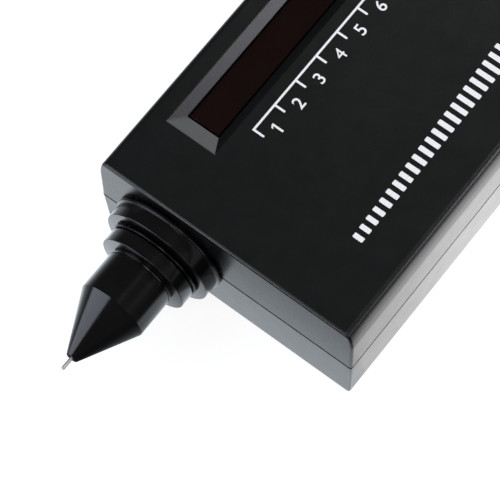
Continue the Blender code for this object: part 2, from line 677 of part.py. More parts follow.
def make_upper_shell():
    radii = {"foot": UPPER_FOOT_RADIUS, "upright": UPRIGHT_RADIUS,
             "long_head": LONG_EDGE_RADIUS, "end_head": END_EDGE_RADIUS}
    shell = moulded_block("upper_shell", shoulder_outlines(), radii,
                          lambda form: piece("upper_shell", form, "case_black"))
    below = UPPER_FOOT_Z - OVERRUN
    cavity = tool("upper_cavity", stacked(upper_outline(below, WALL),
                                          upper_outline(UPPER_CEILING_Z, WALL)))
    lip = TONGUE_INSET - TONGUE_CLEARANCE
    rebate_head = LOWER_HEAD_Z + TONGUE_HEIGHT + TONGUE_CLEARANCE
    rebate = tool("upper_rebate", stacked(upper_outline(below, lip),
                                          upper_outline(rebate_head, lip)))
    cut(shell, cavity, rebate)

    into_ceiling = UPPER_CEILING_Z + WALL / 2
    rim = WINDOW_RIM + SEAT_GAP
    wall = rim + FRAME_WALL
    frame_foot = LED_FOOT_Z + FRAME_DEPTH
    frame = tool("display_frame", stacked(window_outline(wall, wall, frame_foot),
                                          window_outline(wall, wall, into_ceiling)))
    bosses = tool("upper_bosses", rods(CASE_SCREW_PLACES, UPPER_BOSS_RADIUS, UPPER_FOOT_Z,
                                       into_ceiling))
    posts = tool("board_posts", rods(BOARD_SCREW_PLACES, BOARD_POST_RADIUS,
                                     BOARD_HEAD_Z + SEAT_GAP, into_ceiling))
    add(shell, frame, bosses, posts)

    rebate_head = RIM_HEAD_Z + SEAT_GAP
    pocket = tool("window_pocket", stacked(window_outline(rim, rim, frame_foot - OVERRUN),
                                           window_outline(rim, rim, rebate_head)))
    opening = tool("window_opening", stacked(window_outline(0, 0, rebate_head - WINDOW_LEDGE),
                                             window_outline(0, 0, WINDOW_HEAD_Z),
                                             recess_outline(CASE_THICKNESS + OVERRUN)))
    screw_head = UPPER_FOOT_Z + CASE_SCREW_REACH + SEAT_GAP
    screw_holes = tool("upper_screw_holes",
                       rods(CASE_SCREW_PLACES, CASE_SCREW_RADIUS + SEAT_GAP,
                            UPPER_FOOT_Z - OVERRUN, screw_head))
    post_head = BOARD_HEAD_Z + BOARD_SCREW_REACH + SEAT_GAP
    post_holes = tool("post_holes", rods(BOARD_SCREW_PLACES, BOARD_SCREW_RADIUS + SEAT_GAP,
                                         BOARD_HEAD_Z, post_head))
    ready_hole = tool("ready_hole", rods([(READY_LED_X, READY_LED_Y)],
                                         READY_LED_RADIUS + SEAT_GAP,
                                         UPPER_CEILING_Z - OVERRUN, CASE_THICKNESS + OVERRUN))
    cut(shell, pocket, opening, screw_holes, post_holes, ready_hole,
        collar_hole("upper_collar_hole"), wheel_slot("upper_wheel_slot"))


def make_lower_shell():
    radii = {"foot": BACK_EDGE_RADIUS, "upright": UPRIGHT_RADIUS,
             "long_head": LOWER_HEAD_RADIUS, "end_head": LOWER_HEAD_RADIUS}
    shell = moulded_block("lower_shell", (lower_outline(0, 0), lower_outline(LOWER_HEAD_Z, 0)),
                          radii, lambda form: piece("lower_shell", form, "case_black"))
    tongue_head = LOWER_HEAD_Z + TONGUE_HEIGHT
    tongue = tool("tongue", stacked(lower_outline(LOWER_HEAD_Z - OVERRUN, TONGUE_INSET),
                                    lower_outline(tongue_head, TONGUE_INSET)))
    cavity = tool("lower_cavity", stacked(lower_outline(WALL, WALL),
                                          lower_outline(tongue_head + OVERRUN, WALL)))
    add(shell, tongue)
    cut(shell, cavity)

    into_floor = WALL / 2
    inner = lower_outline(WALL, WALL)
    tail = inner.x1 + WALL / 2
    bosses = tool("lower_bosses", rods(CASE_SCREW_PLACES, LOWER_BOSS_RADIUS, into_floor,
                                       LOWER_HEAD_Z))
    wall_x = ELECTRONICS_LENGTH - SEAT_GAP
    bay_front = tool("bay_front_wall", block(wall_x - BAY_WALL, wall_x, OPENING_LOW_Y - BAY_WALL,
                                             OPENING_HIGH_Y + BAY_WALL / 2, into_floor,
                                             BAY_WALL_HEAD_Z - SEAT_GAP))
    low_rail = tool("low_rail", block(ELECTRONICS_LENGTH, tail, inner.y0 - WALL / 2,
                                      OPENING_LOW_Y, RAIL_FOOT_Z, RAIL_HEAD_Z))
    rail_y = FLANGE_HIGH_Y + SEAT_GAP
    high_rail = tool("high_rail", along_x(wall_x - BAY_WALL / 2, tail, [
        (rail_y, into_floor), (rail_y, RAIL_FOOT_Z), (OPENING_HIGH_Y, RAIL_FOOT_Z),
        (OPENING_HIGH_Y, BAY_WALL_HEAD_Z), (OPENING_HIGH_Y + BAY_WALL, BAY_WALL_HEAD_Z),
        (OPENING_HIGH_Y + BAY_WALL, RAIL_HEAD_Z), (rail_y + RAIL_FOOT_WIDTH, RAIL_HEAD_Z),
        (rail_y + RAIL_FOOT_WIDTH, into_floor)]))
    add(shell, bosses, bay_front, low_rail, high_rail)

    outside_x = CASE_LENGTH + PARTING_FLARE + OVERRUN
    opening = tool("door_opening", block(ELECTRONICS_LENGTH, outside_x, OPENING_LOW_Y,
                                         OPENING_HIGH_Y, -OVERRUN, FLANGE_HEAD_Z))
    notch = tool("tail_notch", block(inner.x1 - OVERRUN, outside_x, FLANGE_LOW_Y - NOTCH_GAP,
                                     FLANGE_HIGH_Y + NOTCH_GAP, FLANGE_FOOT_Z - NOTCH_GAP,
                                     FLANGE_HEAD_Z + NOTCH_GAP))
    recesses = tool("screw_recesses", rods(CASE_SCREW_PLACES, CASE_SCREW_HEAD_RADIUS + SEAT_GAP,
                                           -OVERRUN, CASE_SCREW_RECESS))
    holes = tool("lower_screw_holes", rods(CASE_SCREW_PLACES, CASE_SCREW_RADIUS + SEAT_GAP,
                                           CASE_SCREW_RECESS - OVERRUN, LOWER_HEAD_Z + OVERRUN))
    cut(shell, opening, notch, recesses, holes, collar_hole("lower_collar_hole"),
        wheel_slot("lower_wheel_slot"))


def make_battery_door():
    """A plate flush with the back, with a flange on each side that runs under the rails and an
    upturned end that closes the notch in the tail."""
    front = ELECTRONICS_LENGTH + SEAT_GAP
    back = CASE_LENGTH + PARTING_FLARE + OVERRUN
    low = OPENING_LOW_Y + SEAT_GAP
    high = OPENING_HIGH_Y - SEAT_GAP
    low_web = low + DOOR_WEB
    high_web = high - DOOR_WEB
    door = piece("battery_door", along_x(front, back, [
        (low, -OVERRUN), (high, -OVERRUN), (high, FLANGE_FOOT_Z),
        (FLANGE_HIGH_Y, FLANGE_FOOT_Z), (FLANGE_HIGH_Y, FLANGE_HEAD_Z), (high_web, FLANGE_HEAD_Z),
        (high_web, WALL), (low_web, WALL), (low_web, FLANGE_HEAD_Z), (FLANGE_LOW_Y, FLANGE_HEAD_Z),
        (FLANGE_LOW_Y, FLANGE_FOOT_Z), (low, FLANGE_FOOT_Z)]), "case_black")
    add(door, tool("door_end", block(CASE_LENGTH - WALL, back + OVERRUN, low_web - DOOR_WEB / 2,
                                     high_web + DOOR_WEB / 2, WALL / 2,
                                     FLANGE_HEAD_Z - DOOR_SINK)))
    radii = {"foot": BACK_EDGE_RADIUS, "upright": UPRIGHT_RADIUS,
             "long_head": LOWER_HEAD_RADIUS, "end_head": LOWER_HEAD_RADIUS}
    outside = moulded_block("door_outside",
                            (lower_outline(DOOR_SINK, 0), lower_outline(LOWER_HEAD_Z, 0)),
                            radii, lambda form: tool("door_outside", form))
    combine(door, outside, "INTERSECT")
    grooves = bmesh.new()
    for index in range(GRIP_GROOVES):
        x = CASE_LENGTH - GRIP_FROM_TAIL - index * GRIP_PITCH
        made = bmesh.ops.create_cube(grooves, size=1)
        depth = DOOR_SINK + GRIP_DEPTH + OVERRUN
        bmesh.ops.scale(grooves, verts=made["verts"], vec=(GRIP_WIDTH, GRIP_LENGTH, depth))
        bmesh.ops.translate(grooves, verts=made["verts"], vec=(x, BATTERY_Y, depth / 2 - OVERRUN))
    cut(door, tool("grip_grooves", grooves))


def screw(name, place, head_foot_z, head_radius, seat_z, radius, tip_z):
    """A pan-head screw that points up, with its head's upper face at its seat."""
    profile = [(head_foot_z, 0), (head_foot_z, head_radius), (seat_z, head_radius),
               (seat_z, radius), (tip_z - radius, radius), (tip_z, 0)]
    piece(name, turned(profile, axis="Z"), "steel", (*place, 0))


def make_case_screws():
    """Four, from the back: each head seats at its recess's foot."""
    seat_z = CASE_SCREW_RECESS - SEAT_GAP
    for index, place in enumerate(CASE_SCREW_PLACES):
        screw(f"case_screw_{index + 1}", place, seat_z - CASE_SCREW_HEAD_HEIGHT,
              CASE_SCREW_HEAD_RADIUS, seat_z, CASE_SCREW_RADIUS, UPPER_FOOT_Z + CASE_SCREW_REACH)


def merge(form, other):
    """Copies another form into this one, as a separate solid."""
    copied = bpy.data.meshes.new("copied")
    other.to_mesh(copied)
    other.free()
    form.from_mesh(copied)
    bpy.data.meshes.remove(copied)


# Probe

def make_probe_collar():
    """Base ring and first flange outside the case, neck in its wall, back flange inside."""
    forward = (-1, 0)
    backward = (1, 0)
    outward = (0, 1)
    inward = (0, -1)
    base_x = COLLAR_SEAT_X - COLLAR_BASE_LENGTH
    profile = [(COLLAR_SEAT_X, COLLAR_NECK_RADIUS), (COLLAR_SEAT_X, COLLAR_BASE_RADIUS),
               (base_x, COLLAR_BASE_RADIUS), (base_x, COLLAR_RADIUS)]
    profile += rounded_corner(COLLAR_HEAD_X, COLLAR_RADIUS, COLLAR_EDGE, forward, inward)
    profile += [(COLLAR_HEAD_X, BORE_RADIUS), (COLLAR_TAIL_X, BORE_RADIUS)]
    profile += rounded_corner(COLLAR_TAIL_X, COLLAR_BACK_RADIUS, COLLAR_EDGE, outward, forward)
    profile += [(COLLAR_BACK_X, COLLAR_BACK_RADIUS), (COLLAR_BACK_X, COLLAR_NECK_RADIUS)]
    piece("probe_collar", turned(profile, bored=True, sides=FINE_SIDES), "probe_black",
          (0, PROBE_Y, PARTING_Z))


def make_collar_washer():
    profile = [(WASHER_BACK_X, BORE_RADIUS), (WASHER_BACK_X, WASHER_RADIUS),
               (WASHER_HEAD_X, WASHER_RADIUS), (WASHER_HEAD_X, BORE_RADIUS)]
    piece("collar_washer", turned(profile, bored=True, sides=FINE_SIDES), "probe_black",
          (0, PROBE_Y, PARTING_Z))


def make_nose_cone():
    """Spigot, second flange, neck, barrel and cone outside; slide, shank and tip bores inside."""
    forward = (-1, 0)
    inward = (0, -1)
    profile = [(SPIGOT_TAIL_X, SPIGOT_BORE_RADIUS), (SPIGOT_TAIL_X, SPIGOT_RADIUS),
               (NOSE_SEAT_X, SPIGOT_RADIUS), (NOSE_SEAT_X, NOSE_FLANGE_RADIUS)]
    profile += rounded_corner(NOSE_FLANGE_X, NOSE_FLANGE_RADIUS, COLLAR_EDGE, forward, inward)
    profile += [(NOSE_FLANGE_X, NOSE_NECK_RADIUS), (BARREL_BACK_X, NOSE_NECK_RADIUS),
                (BARREL_BACK_X, NOSE_BARREL_RADIUS), (BARREL_HEAD_X, NOSE_BARREL_RADIUS)]
    tip_round = NOSE_TIP_RADIUS - TIP_BORE_RADIUS
    for step in range(ARC_STEPS + 1):
        turn = math.pi / 2 * step / ARC_STEPS
        profile.append((CONE_HEAD_X - NOSE_TIP_LENGTH * math.sin(turn),
                        TIP_BORE_RADIUS + tip_round * math.cos(turn)))
    profile += [(SHANK_STOP_X, TIP_BORE_RADIUS), (SHANK_STOP_X, SHANK_BORE_RADIUS),
                (SLIDE_STOP_X, SHANK_BORE_RADIUS), (SLIDE_STOP_X, SLIDE_BORE_RADIUS),
                (SPIGOT_BORE_X, SLIDE_BORE_RADIUS), (SPIGOT_BORE_X, SPIGOT_BORE_RADIUS)]
    piece("nose_cone", turned(profile, bored=True, sides=FINE_SIDES), "probe_black",
          (0, PROBE_Y, PARTING_Z))


def make_probe_pin():
    """The fine point, and the thicker shank that stands in the carrier's socket."""
    shank_x = SHANK_STOP_X + PIN_SHANK_CLEARANCE
    profile = [(PIN_HEAD_X, 0), (PIN_HEAD_X, PIN_POINT_RADIUS),
               (PIN_HEAD_X + PIN_POINT_LENGTH, PIN_RADIUS), (shank_x, PIN_RADIUS),
               (shank_x, PIN_SHANK_RADIUS), (PIN_TAIL_X, PIN_SHANK_RADIUS), (PIN_TAIL_X, 0)]
    piece("probe_pin", turned(profile), "pin_metal", (0, PROBE_Y, PARTING_Z))


def make_probe_carrier():
    """The slider: its front face stops in the nose cone, and its back holds heater and spring."""
    outer = SLIDE_BORE_RADIUS - SEAT_GAP
    socket = PIN_SHANK_RADIUS + SEAT_GAP
    profile = [(CARRIER_HEAD_X, socket), (CARRIER_HEAD_X, outer), (CARRIER_TAIL_X, outer),
               (CARRIER_TAIL_X, CARRIER_POCKET_RADIUS), (CARRIER_POCKET_X, CARRIER_POCKET_RADIUS),
               (CARRIER_POCKET_X, socket)]
    piece("probe_carrier", turned(profile, bored=True), "brass", (0, PROBE_Y, PARTING_Z))
    bead_x = PIN_TAIL_X + SEAT_GAP
    bead = [(bead_x + SENSOR_LENGTH * (1 - math.cos(turn)) / 2, SENSOR_RADIUS * math.sin(turn))
            for turn in (math.pi * step / (2 * ARC_STEPS) for step in range(2 * ARC_STEPS + 1))]
    piece("heat_sensor", turned(bead, sides=SMALL_SIDES), "ceramic_white",
          (0, PROBE_Y, PARTING_Z))
    heater_x = CARRIER_POCKET_X + SEAT_GAP
    heater = [(heater_x + distance, radius)
              for distance, radius in rounded_rod(HEATER_LENGTH, HEATER_RADIUS, COLLAR_EDGE)]
    piece("heater", turned(heater), "ceramic_white", (0, PROBE_Y, PARTING_Z))


def make_probe_spring():
    """Open coils between the carrier's back face and the plug."""
    first = CARRIER_TAIL_X + SEAT_GAP + SPRING_WIRE_RADIUS
    last = PLUG_HEAD_X - SEAT_GAP - SPRING_WIRE_RADIUS
    steps = SPRING_TURNS * SPRING_POINTS_PER_TURN
    route = []
    for step in range(steps + 1):
        turn = math.tau * step / SPRING_POINTS_PER_TURN
        route.append((first + (last - first) * step / steps,
                      PROBE_Y + SPRING_RADIUS * math.cos(turn),
                      PARTING_Z + SPRING_RADIUS * math.sin(turn)))
    wire("probe_spring", route, SPRING_WIRE_RADIUS, "steel", roundness=1)


def make_probe_plug():
    """Closes the spigot and backs the spring; the wires leave through its middle."""
    body = SPIGOT_BORE_RADIUS - SEAT_GAP
    profile = [(PLUG_HEAD_X, PLUG_HOLE_RADIUS), (PLUG_HEAD_X, body), (PLUG_TAIL_X, body),
               (PLUG_TAIL_X, PLUG_FLANGE_RADIUS),
               (PLUG_TAIL_X + PLUG_FLANGE_LENGTH, PLUG_FLANGE_RADIUS),
               (PLUG_TAIL_X + PLUG_FLANGE_LENGTH, PLUG_HOLE_RADIUS)]
    piece("probe_plug", turned(profile, bored=True), "probe_black", (0, PROBE_Y, PARTING_Z))


def make_probe_leads():
    start_x = (PLUG_HEAD_X + PLUG_TAIL_X) / 2
    for name, side in (("probe_lead_red", 1), ("probe_lead_black", -1)):
        start = (start_x, PROBE_Y + side * PROBE_WIRE_SPREAD, PARTING_Z)
        end = (PROBE_WIRE_LANDING_X, PROBE_Y + side * PROBE_WIRE_LANDING_OFFSET, UNDER_BOARD_Z)
        wire(name, wire_route(start, (1, 0, 0), end, (0, 0, 1)), PROBE_WIRE_RADIUS,
             "wire_" + name.rsplit("_", 1)[1])


# Display and board

def make_display_window():
    """A stepped plate: its rim seats under the ledge, and its middle fills the opening."""
    piece("display_window", stacked(
        window_outline(WINDOW_RIM, WINDOW_RIM, WINDOW_FOOT_Z),
        window_outline(WINDOW_RIM, WINDOW_RIM, RIM_HEAD_Z),
        window_outline(-SEAT_GAP, -SEAT_GAP, RIM_HEAD_Z),
        window_outline(-SEAT_GAP, -SEAT_GAP, WINDOW_HEAD_Z)), "window_red")


def lamp_x(index):
    return SCALE_START + (index + 1 / 2) * LED_PITCH


def lamp_block(index, grow, z0, z1):
    x = lamp_x(index)
    return block(x - LED_WIDTH / 2 - grow, x + LED_WIDTH / 2 + grow,
                 WINDOW_Y - LED_DEPTH / 2 - grow, WINDOW_Y + LED_DEPTH / 2 + grow, z0, z1)


def make_lamps():
    """Green, then yellow, then red lamps, each in its own pocket of the holder."""
    pockets = bmesh.new()
    for index in range(LED_COUNT):
        colour = "green" if index < GREEN_LEDS else "yellow" if index < NOT_RED_LEDS else "red"
        lamp = piece(f"led_{index + 1}_{colour}", lamp_block(index, 0, LED_FOOT_Z, LED_HEAD_Z),
                     "lamp_" + colour)
        bevel_all(lamp, LED_EDGE, 1)
        merge(pockets, lamp_block(index, SEAT_GAP, LED_FOOT_Z - OVERRUN, LED_HEAD_Z + OVERRUN))
    holder = piece("led_holder", stacked(window_outline(WINDOW_RIM, WINDOW_RIM, LED_FOOT_Z),
                                         window_outline(WINDOW_RIM, WINDOW_RIM, LED_HEAD_Z)),
                   "holder_black")
    cut(holder, tool("lamp_pockets", pockets))


def make_ready_led():
    """A round lamp on the board, whose dome stands in a hole in the display face."""
    rim = READY_LED_RADIUS + READY_LED_RIM
    rim_head = LED_FOOT_Z + READY_LED_RIM_HEIGHT
    dome = CASE_THICKNESS - SEAT_GAP - READY_LED_RADIUS
    profile = [(LED_FOOT_Z, 0), (LED_FOOT_Z, rim), (rim_head, rim), (rim_head, READY_LED_RADIUS)]
    for step in range(2 * ARC_STEPS + 1):
        turn = math.pi / 2 * step / (2 * ARC_STEPS)
        profile.append((dome + READY_LED_RADIUS * math.sin(turn),
                        READY_LED_RADIUS * math.cos(turn)))
    piece("ready_led", turned(profile, axis="Z", sides=ROUND_SIDES), "lamp_red",
          (READY_LED_X, READY_LED_Y, 0))


def make_circuit_board():
    """Square notches in its long edges let the case's screw bosses pass."""
    inner = upper_outline(BOARD_HEAD_Z, WALL + BOARD_EDGE_GAP)
    board = piece("circuit_board", block(BOARD_FRONT, inner.x1, inner.y0, inner.y1, BOARD_FOOT_Z,
                                         BOARD_HEAD_Z), "board_green")
    notches = bmesh.new()
    reach = UPPER_BOSS_RADIUS + BOARD_NOTCH_GAP
    for x, y in CASE_SCREW_PLACES:
        front = min(x - reach, BOARD_FRONT - OVERRUN) if x < BOARD_FRONT + 2 * reach else x - reach
        inside = abs(y) - reach
        outside = inner.y1 + OVERRUN
        low, high = (inside, outside) if y > 0 else (-outside, -inside)
        merge(notches, block(front, x + reach, low, high, BOARD_FOOT_Z - OVERRUN,
                             BOARD_HEAD_Z + OVERRUN))
    cut(board,
        tool("board_notches", notches),
        tool("board_holes", rods(BOARD_SCREW_PLACES, BOARD_SCREW_RADIUS + SEAT_GAP,
                                 BOARD_FOOT_Z - OVERRUN, BOARD_HEAD_Z + OVERRUN)))


def make_board_screws():
    for index, place in enumerate(BOARD_SCREW_PLACES):
        screw(f"board_screw_{index + 1}", place, UNDER_BOARD_Z - BOARD_SCREW_HEAD_HEIGHT,
              BOARD_SCREW_HEAD_RADIUS, UNDER_BOARD_Z, BOARD_SCREW_RADIUS,
              BOARD_HEAD_Z + BOARD_SCREW_REACH)


def chip(name, x, y, legs_a_side):
    """A dual in-line chip under the board: a body with a row of legs up each side."""
    length = (legs_a_side - 1) * CHIP_LEG_PITCH + 2 * CHIP_END
    body_z = UNDER_BOARD_Z - CHIP_BODY_HEIGHT - CHIP_LEG_THICKNESS
    body = block(x - length / 2, x + length / 2, y - CHIP_WIDTH / 2, y + CHIP_WIDTH / 2, body_z,
                 UNDER_BOARD_Z - CHIP_LEG_THICKNESS)
    made = piece(name, body, "chip_black")
    legs = bmesh.new()
    middle_z = body_z + CHIP_BODY_HEIGHT / 2
    for side in (-1, 1):
        inner_y = y + side * (CHIP_WIDTH / 2 - CHIP_LEG_THICKNESS)
        outer_y = y + side * (CHIP_WIDTH / 2 + CHIP_LEG_THICKNESS)
        for index in range(legs_a_side):
            leg_x = x - length / 2 + CHIP_END + index * CHIP_LEG_PITCH
            merge(legs, block(leg_x - CHIP_LEG_WIDTH / 2, leg_x + CHIP_LEG_WIDTH / 2,
                              min(inner_y, outer_y), max(inner_y, outer_y), middle_z,
                              UNDER_BOARD_Z))
    add(made, tool(name + "_legs", legs))


def on_board(x_share, y_share):
    """A place on the board in plan, from its two shares."""
    return x_share * ELECTRONICS_LENGTH, y_share * HALF_WIDTH


def centred(index, count, pitch):
    """The offset of one of an even row's places from the row's middle."""
    return (index - (count - 1) / 2) * pitch


def make_chips():
    x, y = on_board(DRIVER_CHIPS_X_SHARE, DRIVER_CHIPS_Y_SHARE)
    for index, name in enumerate(DRIVER_CHIP_NAMES):
        offset = centred(index, len(DRIVER_CHIP_NAMES), DRIVER_CHIP_PITCH)
        chip(name, x + offset, y, DRIVER_LEGS_A_SIDE)
    x, y = on_board(AMPLIFIER_CHIP_X_SHARE, AMPLIFIER_CHIP_Y_SHARE)
    chip("amplifier_chip", x, y, AMPLIFIER_LEGS_A_SIDE)


def make_capacitors():
    for index, x_share in enumerate(CAPACITOR_X_SHARES):
        can = turned(rounded_rod(CAPACITOR_HEIGHT, CAPACITOR_RADIUS, CAPACITOR_EDGE), axis="Z",
                     sides=SMALL_SIDES)
        place = (*on_board(x_share, CAPACITOR_Y_SHARE), UNDER_BOARD_Z - CAPACITOR_HEIGHT)
        piece(f"capacitor_{index + 1}", can, "capacitor_sleeve", place)


def make_resistors():
    """Barrels with a narrower waist, lying along the board."""
    end = RESISTOR_LENGTH / 4
    profile = [(-RESISTOR_LEAD_LENGTH, 0), (-RESISTOR_LEAD_LENGTH, RESISTOR_LEAD_RADIUS),
               (0, RESISTOR_LEAD_RADIUS), (0, RESISTOR_WAIST_RADIUS),
               (end / 2, RESISTOR_RADIUS), (end, RESISTOR_WAIST_RADIUS),
               (RESISTOR_LENGTH - end, RESISTOR_WAIST_RADIUS),
               (RESISTOR_LENGTH - end / 2, RESISTOR_RADIUS),
               (RESISTOR_LENGTH, RESISTOR_WAIST_RADIUS), (RESISTOR_LENGTH, RESISTOR_LEAD_RADIUS),
               (RESISTOR_LENGTH + RESISTOR_LEAD_LENGTH, RESISTOR_LEAD_RADIUS),
               (RESISTOR_LENGTH + RESISTOR_LEAD_LENGTH, 0)]
    x, y = on_board(RESISTORS_X_SHARE, RESISTORS_Y_SHARE)
    for index in range(RESISTOR_COUNT):
        place = (x - RESISTOR_LENGTH / 2, y + centred(index, RESISTOR_COUNT, RESISTOR_PITCH),
                 UNDER_BOARD_Z - RESISTOR_RADIUS)
        piece(f"resistor_{index + 1}", turned(profile, sides=THIN_SIDES), "resistor_tan", place)


def make_trimmers():
    """Two square trimmers, each with a screw well in its face."""
    foot_z = UNDER_BOARD_Z - TRIMMER_HEIGHT
    x, middle_y = on_board(TRIMMERS_X_SHARE, TRIMMERS_Y_SHARE)
    for index in range(TRIMMER_COUNT):
        y = middle_y + centred(index, TRIMMER_COUNT, TRIMMER_PITCH)
        name = f"trimmer_{index + 1}"
        made = piece(name, block(x - TRIMMER_LENGTH / 2, x + TRIMMER_LENGTH / 2,
                                 y - TRIMMER_WIDTH / 2, y + TRIMMER_WIDTH / 2, foot_z,
                                 UNDER_BOARD_Z), "trimmer_blue")
        well = rods([(x + TRIMMER_LENGTH / 4, y)], TRIMMER_SCREW_RADIUS,
                    foot_z - OVERRUN, foot_z + TRIMMER_SCREW_DEPTH, SMALL_SIDES)
        cut(made, tool(name + "_well", well))


def make_buzzer():
    foot_z = UNDER_BOARD_Z - BUZZER_HEIGHT
    x, y = on_board(BUZZER_X_SHARE, BUZZER_Y_SHARE)
    made = piece("buzzer", turned(rounded_rod(BUZZER_HEIGHT, BUZZER_RADIUS, BUZZER_EDGE),
                                  axis="Z"), "holder_black", (x, y, foot_z))
    cut(made, tool("buzzer_hole", rods([(x, y)], BUZZER_HOLE_RADIUS,
                                       foot_z - OVERRUN, foot_z + BUZZER_HOLE_DEPTH,
                                       SMALL_SIDES)))


# Setting wheel

def make_dial():
    """The switched potentiometer under the board, its shaft, the wheel and the wheel's screw."""
    wheel_head = PARTING_Z + WHEEL_THICKNESS / 2
    wheel_foot = PARTING_Z - WHEEL_THICKNESS / 2
    switch_foot = wheel_head + DIAL_SWITCH_GAP
    half = DIAL_SWITCH_WIDTH / 2
    switch = bevel_all(piece("dial_switch", block(WHEEL_X - half, WHEEL_X + half, WHEEL_Y - half,
                                                  WHEEL_Y + half, switch_foot, UNDER_BOARD_Z),
                             "trimmer_blue"), LED_EDGE, 1)
    socket_head = switch_foot + DIAL_SHAFT_DEPTH + SEAT_GAP
    cut(switch, tool("shaft_socket", rods([(WHEEL_X, WHEEL_Y)], DIAL_SHAFT_RADIUS + SEAT_GAP,
                                          switch_foot - OVERRUN, socket_head)))

    axis = (WHEEL_X, WHEEL_Y, PARTING_Z)
    shaft_foot = wheel_foot + DIAL_SHAFT_SHORT - PARTING_Z
    shaft_head = switch_foot + DIAL_SHAFT_DEPTH - PARTING_Z
    thread = WHEEL_SCREW_RADIUS + SEAT_GAP
    thread_head = wheel_foot + WHEEL_SCREW_DEPTH + SEAT_GAP - PARTING_Z
    piece("dial_shaft", turned([(shaft_head, 0), (shaft_head, DIAL_SHAFT_RADIUS),
                                (shaft_foot, DIAL_SHAFT_RADIUS), (shaft_foot, thread),
                                (thread_head, thread), (thread_head, 0)], axis="Z"),
          "steel", axis)

    loops = [notched_loop(WHEEL_EDGE, -WHEEL_THICKNESS / 2),
             notched_loop(0, -WHEEL_THICKNESS / 2 + WHEEL_EDGE),
             notched_loop(0, WHEEL_THICKNESS / 2 - WHEEL_EDGE),
             notched_loop(WHEEL_EDGE, WHEEL_THICKNESS / 2)]
    wheel = piece("thumb_wheel", lofted(loops), "case_black", axis)
    dish_radius = WHEEL_RADIUS - WHEEL_RIM_WIDTH
    hub = rods([(WHEEL_X, WHEEL_Y)], DIAL_SHAFT_RADIUS + SEAT_GAP, wheel_foot - OVERRUN,
               wheel_head + OVERRUN)
    dish = rods([(WHEEL_X, WHEEL_Y)], dish_radius, wheel_head - WHEEL_DISH_DEPTH,
                wheel_head + OVERRUN)
    cut(wheel, tool("wheel_bore", hub), tool("wheel_dish", dish))

    head_z = wheel_foot - SEAT_GAP - PARTING_Z
    head_foot = head_z - WHEEL_SCREW_HEAD_HEIGHT
    tip = wheel_foot + WHEEL_SCREW_DEPTH - PARTING_Z
    piece("wheel_screw", turned([(head_foot, 0), (head_foot, WHEEL_SCREW_HEAD_RADIUS),
                                 (head_z, WHEEL_SCREW_HEAD_RADIUS), (head_z, WHEEL_SCREW_RADIUS),
                                 (tip, WHEEL_SCREW_RADIUS), (tip, 0)], axis="Z"), "steel", axis)


def notched_loop(inset, z):
    """The wheel's rim in plan: lands with shallow finger notches between them."""
    points = []
    for index in range(WHEEL_NOTCHES):
        for corner in range(4):
            turn = math.tau * (index + corner / 4) / WHEEL_NOTCHES
            radius = WHEEL_RADIUS - inset - (WHEEL_NOTCH_DEPTH if corner > 1 else 0)
            points.append((radius * math.cos(turn), radius * math.sin(turn), z))
    return points


# Battery

def make_battery():
    """The cell block with its stud and socket, and the strip whose socket and stud mate them."""
    battery = piece("battery", block(BATTERY_FRONT_X, BATTERY_BACK_X, BATTERY_LOW_Y,
                                     BATTERY_HIGH_Y, BATTERY_Z, BATTERY_Z + BATTERY_THICKNESS),
                    "battery_jacket")
    bevel_all(battery, BATTERY_EDGE_RADIUS, 2)
    half = BATTERY_WIDTH / 2 - SNAP_SIDE_MARGIN
    snap = piece("battery_snap", block(SNAP_FRONT_X, SNAP_BACK_X, BATTERY_Y - half,
                                       BATTERY_Y + half, BATTERY_MIDDLE_Z - SNAP_HEIGHT / 2,
                                       BATTERY_MIDDLE_Z + SNAP_HEIGHT / 2), "holder_black")
    bevel_all(snap, LED_EDGE, 2)
    add_terminals(battery, SNAP_BACK_X + SEAT_GAP, BATTERY_FRONT_X + SNAP_THICKNESS / 2, -1)
    add_terminals(snap, SNAP_BACK_X - SNAP_THICKNESS / 2, BATTERY_FRONT_X - SEAT_GAP, 1)


def add_terminals(target, low, high, stud_side):
    """A round stud on one side of the middle and the ring that takes a stud on the other."""
    stud = [(low, 0), (low, STUD_RADIUS), (high, STUD_RADIUS), (high, 0)]
    socket = [(low, SOCKET_RADIUS), (low, SOCKET_RADIUS + SOCKET_WALL),
              (high, SOCKET_RADIUS + SOCKET_WALL), (high, SOCKET_RADIUS)]
    offset = stud_side * TERMINAL_PITCH / 2
    add(target,
        tool(target.name + "_stud", turned(stud), (0, BATTERY_Y + offset, BATTERY_MIDDLE_Z)),
        tool(target.name + "_socket", turned(socket, bored=True),
             (0, BATTERY_Y - offset, BATTERY_MIDDLE_Z)))


def make_battery_leads():
    for name, side in (("battery_lead_red", 1), ("battery_lead_black", -1)):
        y = BATTERY_Y + side * WIRE_SPREAD
        start = (SNAP_FRONT_X - SEAT_GAP, y, BAY_WALL_HEAD_Z + WIRE_HEIGHT_OVER_BAY_WALL)
        end = (ELECTRONICS_LENGTH - WIRE_LANDING_DISTANCE, y, UNDER_BOARD_Z)
        wire(name, wire_route(start, (-1, 0, 0), end, (0, 0, 1)), WIRE_RADIUS,
             "wire_" + name.rsplit("_", 1)[1])


make_upper_shell()
make_lower_shell()
make_battery_door()
make_case_screws()
make_probe_collar()
make_collar_washer()
make_nose_cone()
make_probe_pin()
make_probe_carrier()
make_probe_spring()
make_probe_plug()
make_probe_leads()
make_display_window()
make_lamps()
make_ready_led()
make_circuit_board()
make_board_screws()
make_chips()
make_capacitors()
make_resistors()
make_trimmers()
make_buzzer()
make_dial()
make_battery()
make_battery_leads()
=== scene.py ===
"""The looks of a hand-held thermal diamond tester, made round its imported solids.

Lengths are in metres. X runs from the probe (-X) to the tail, Y across the case with the display
on the +Y side, and Z up through the display face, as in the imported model.
"""

import math

import bmesh
import bpy
from mathutils import Matrix, Quaternion, Vector


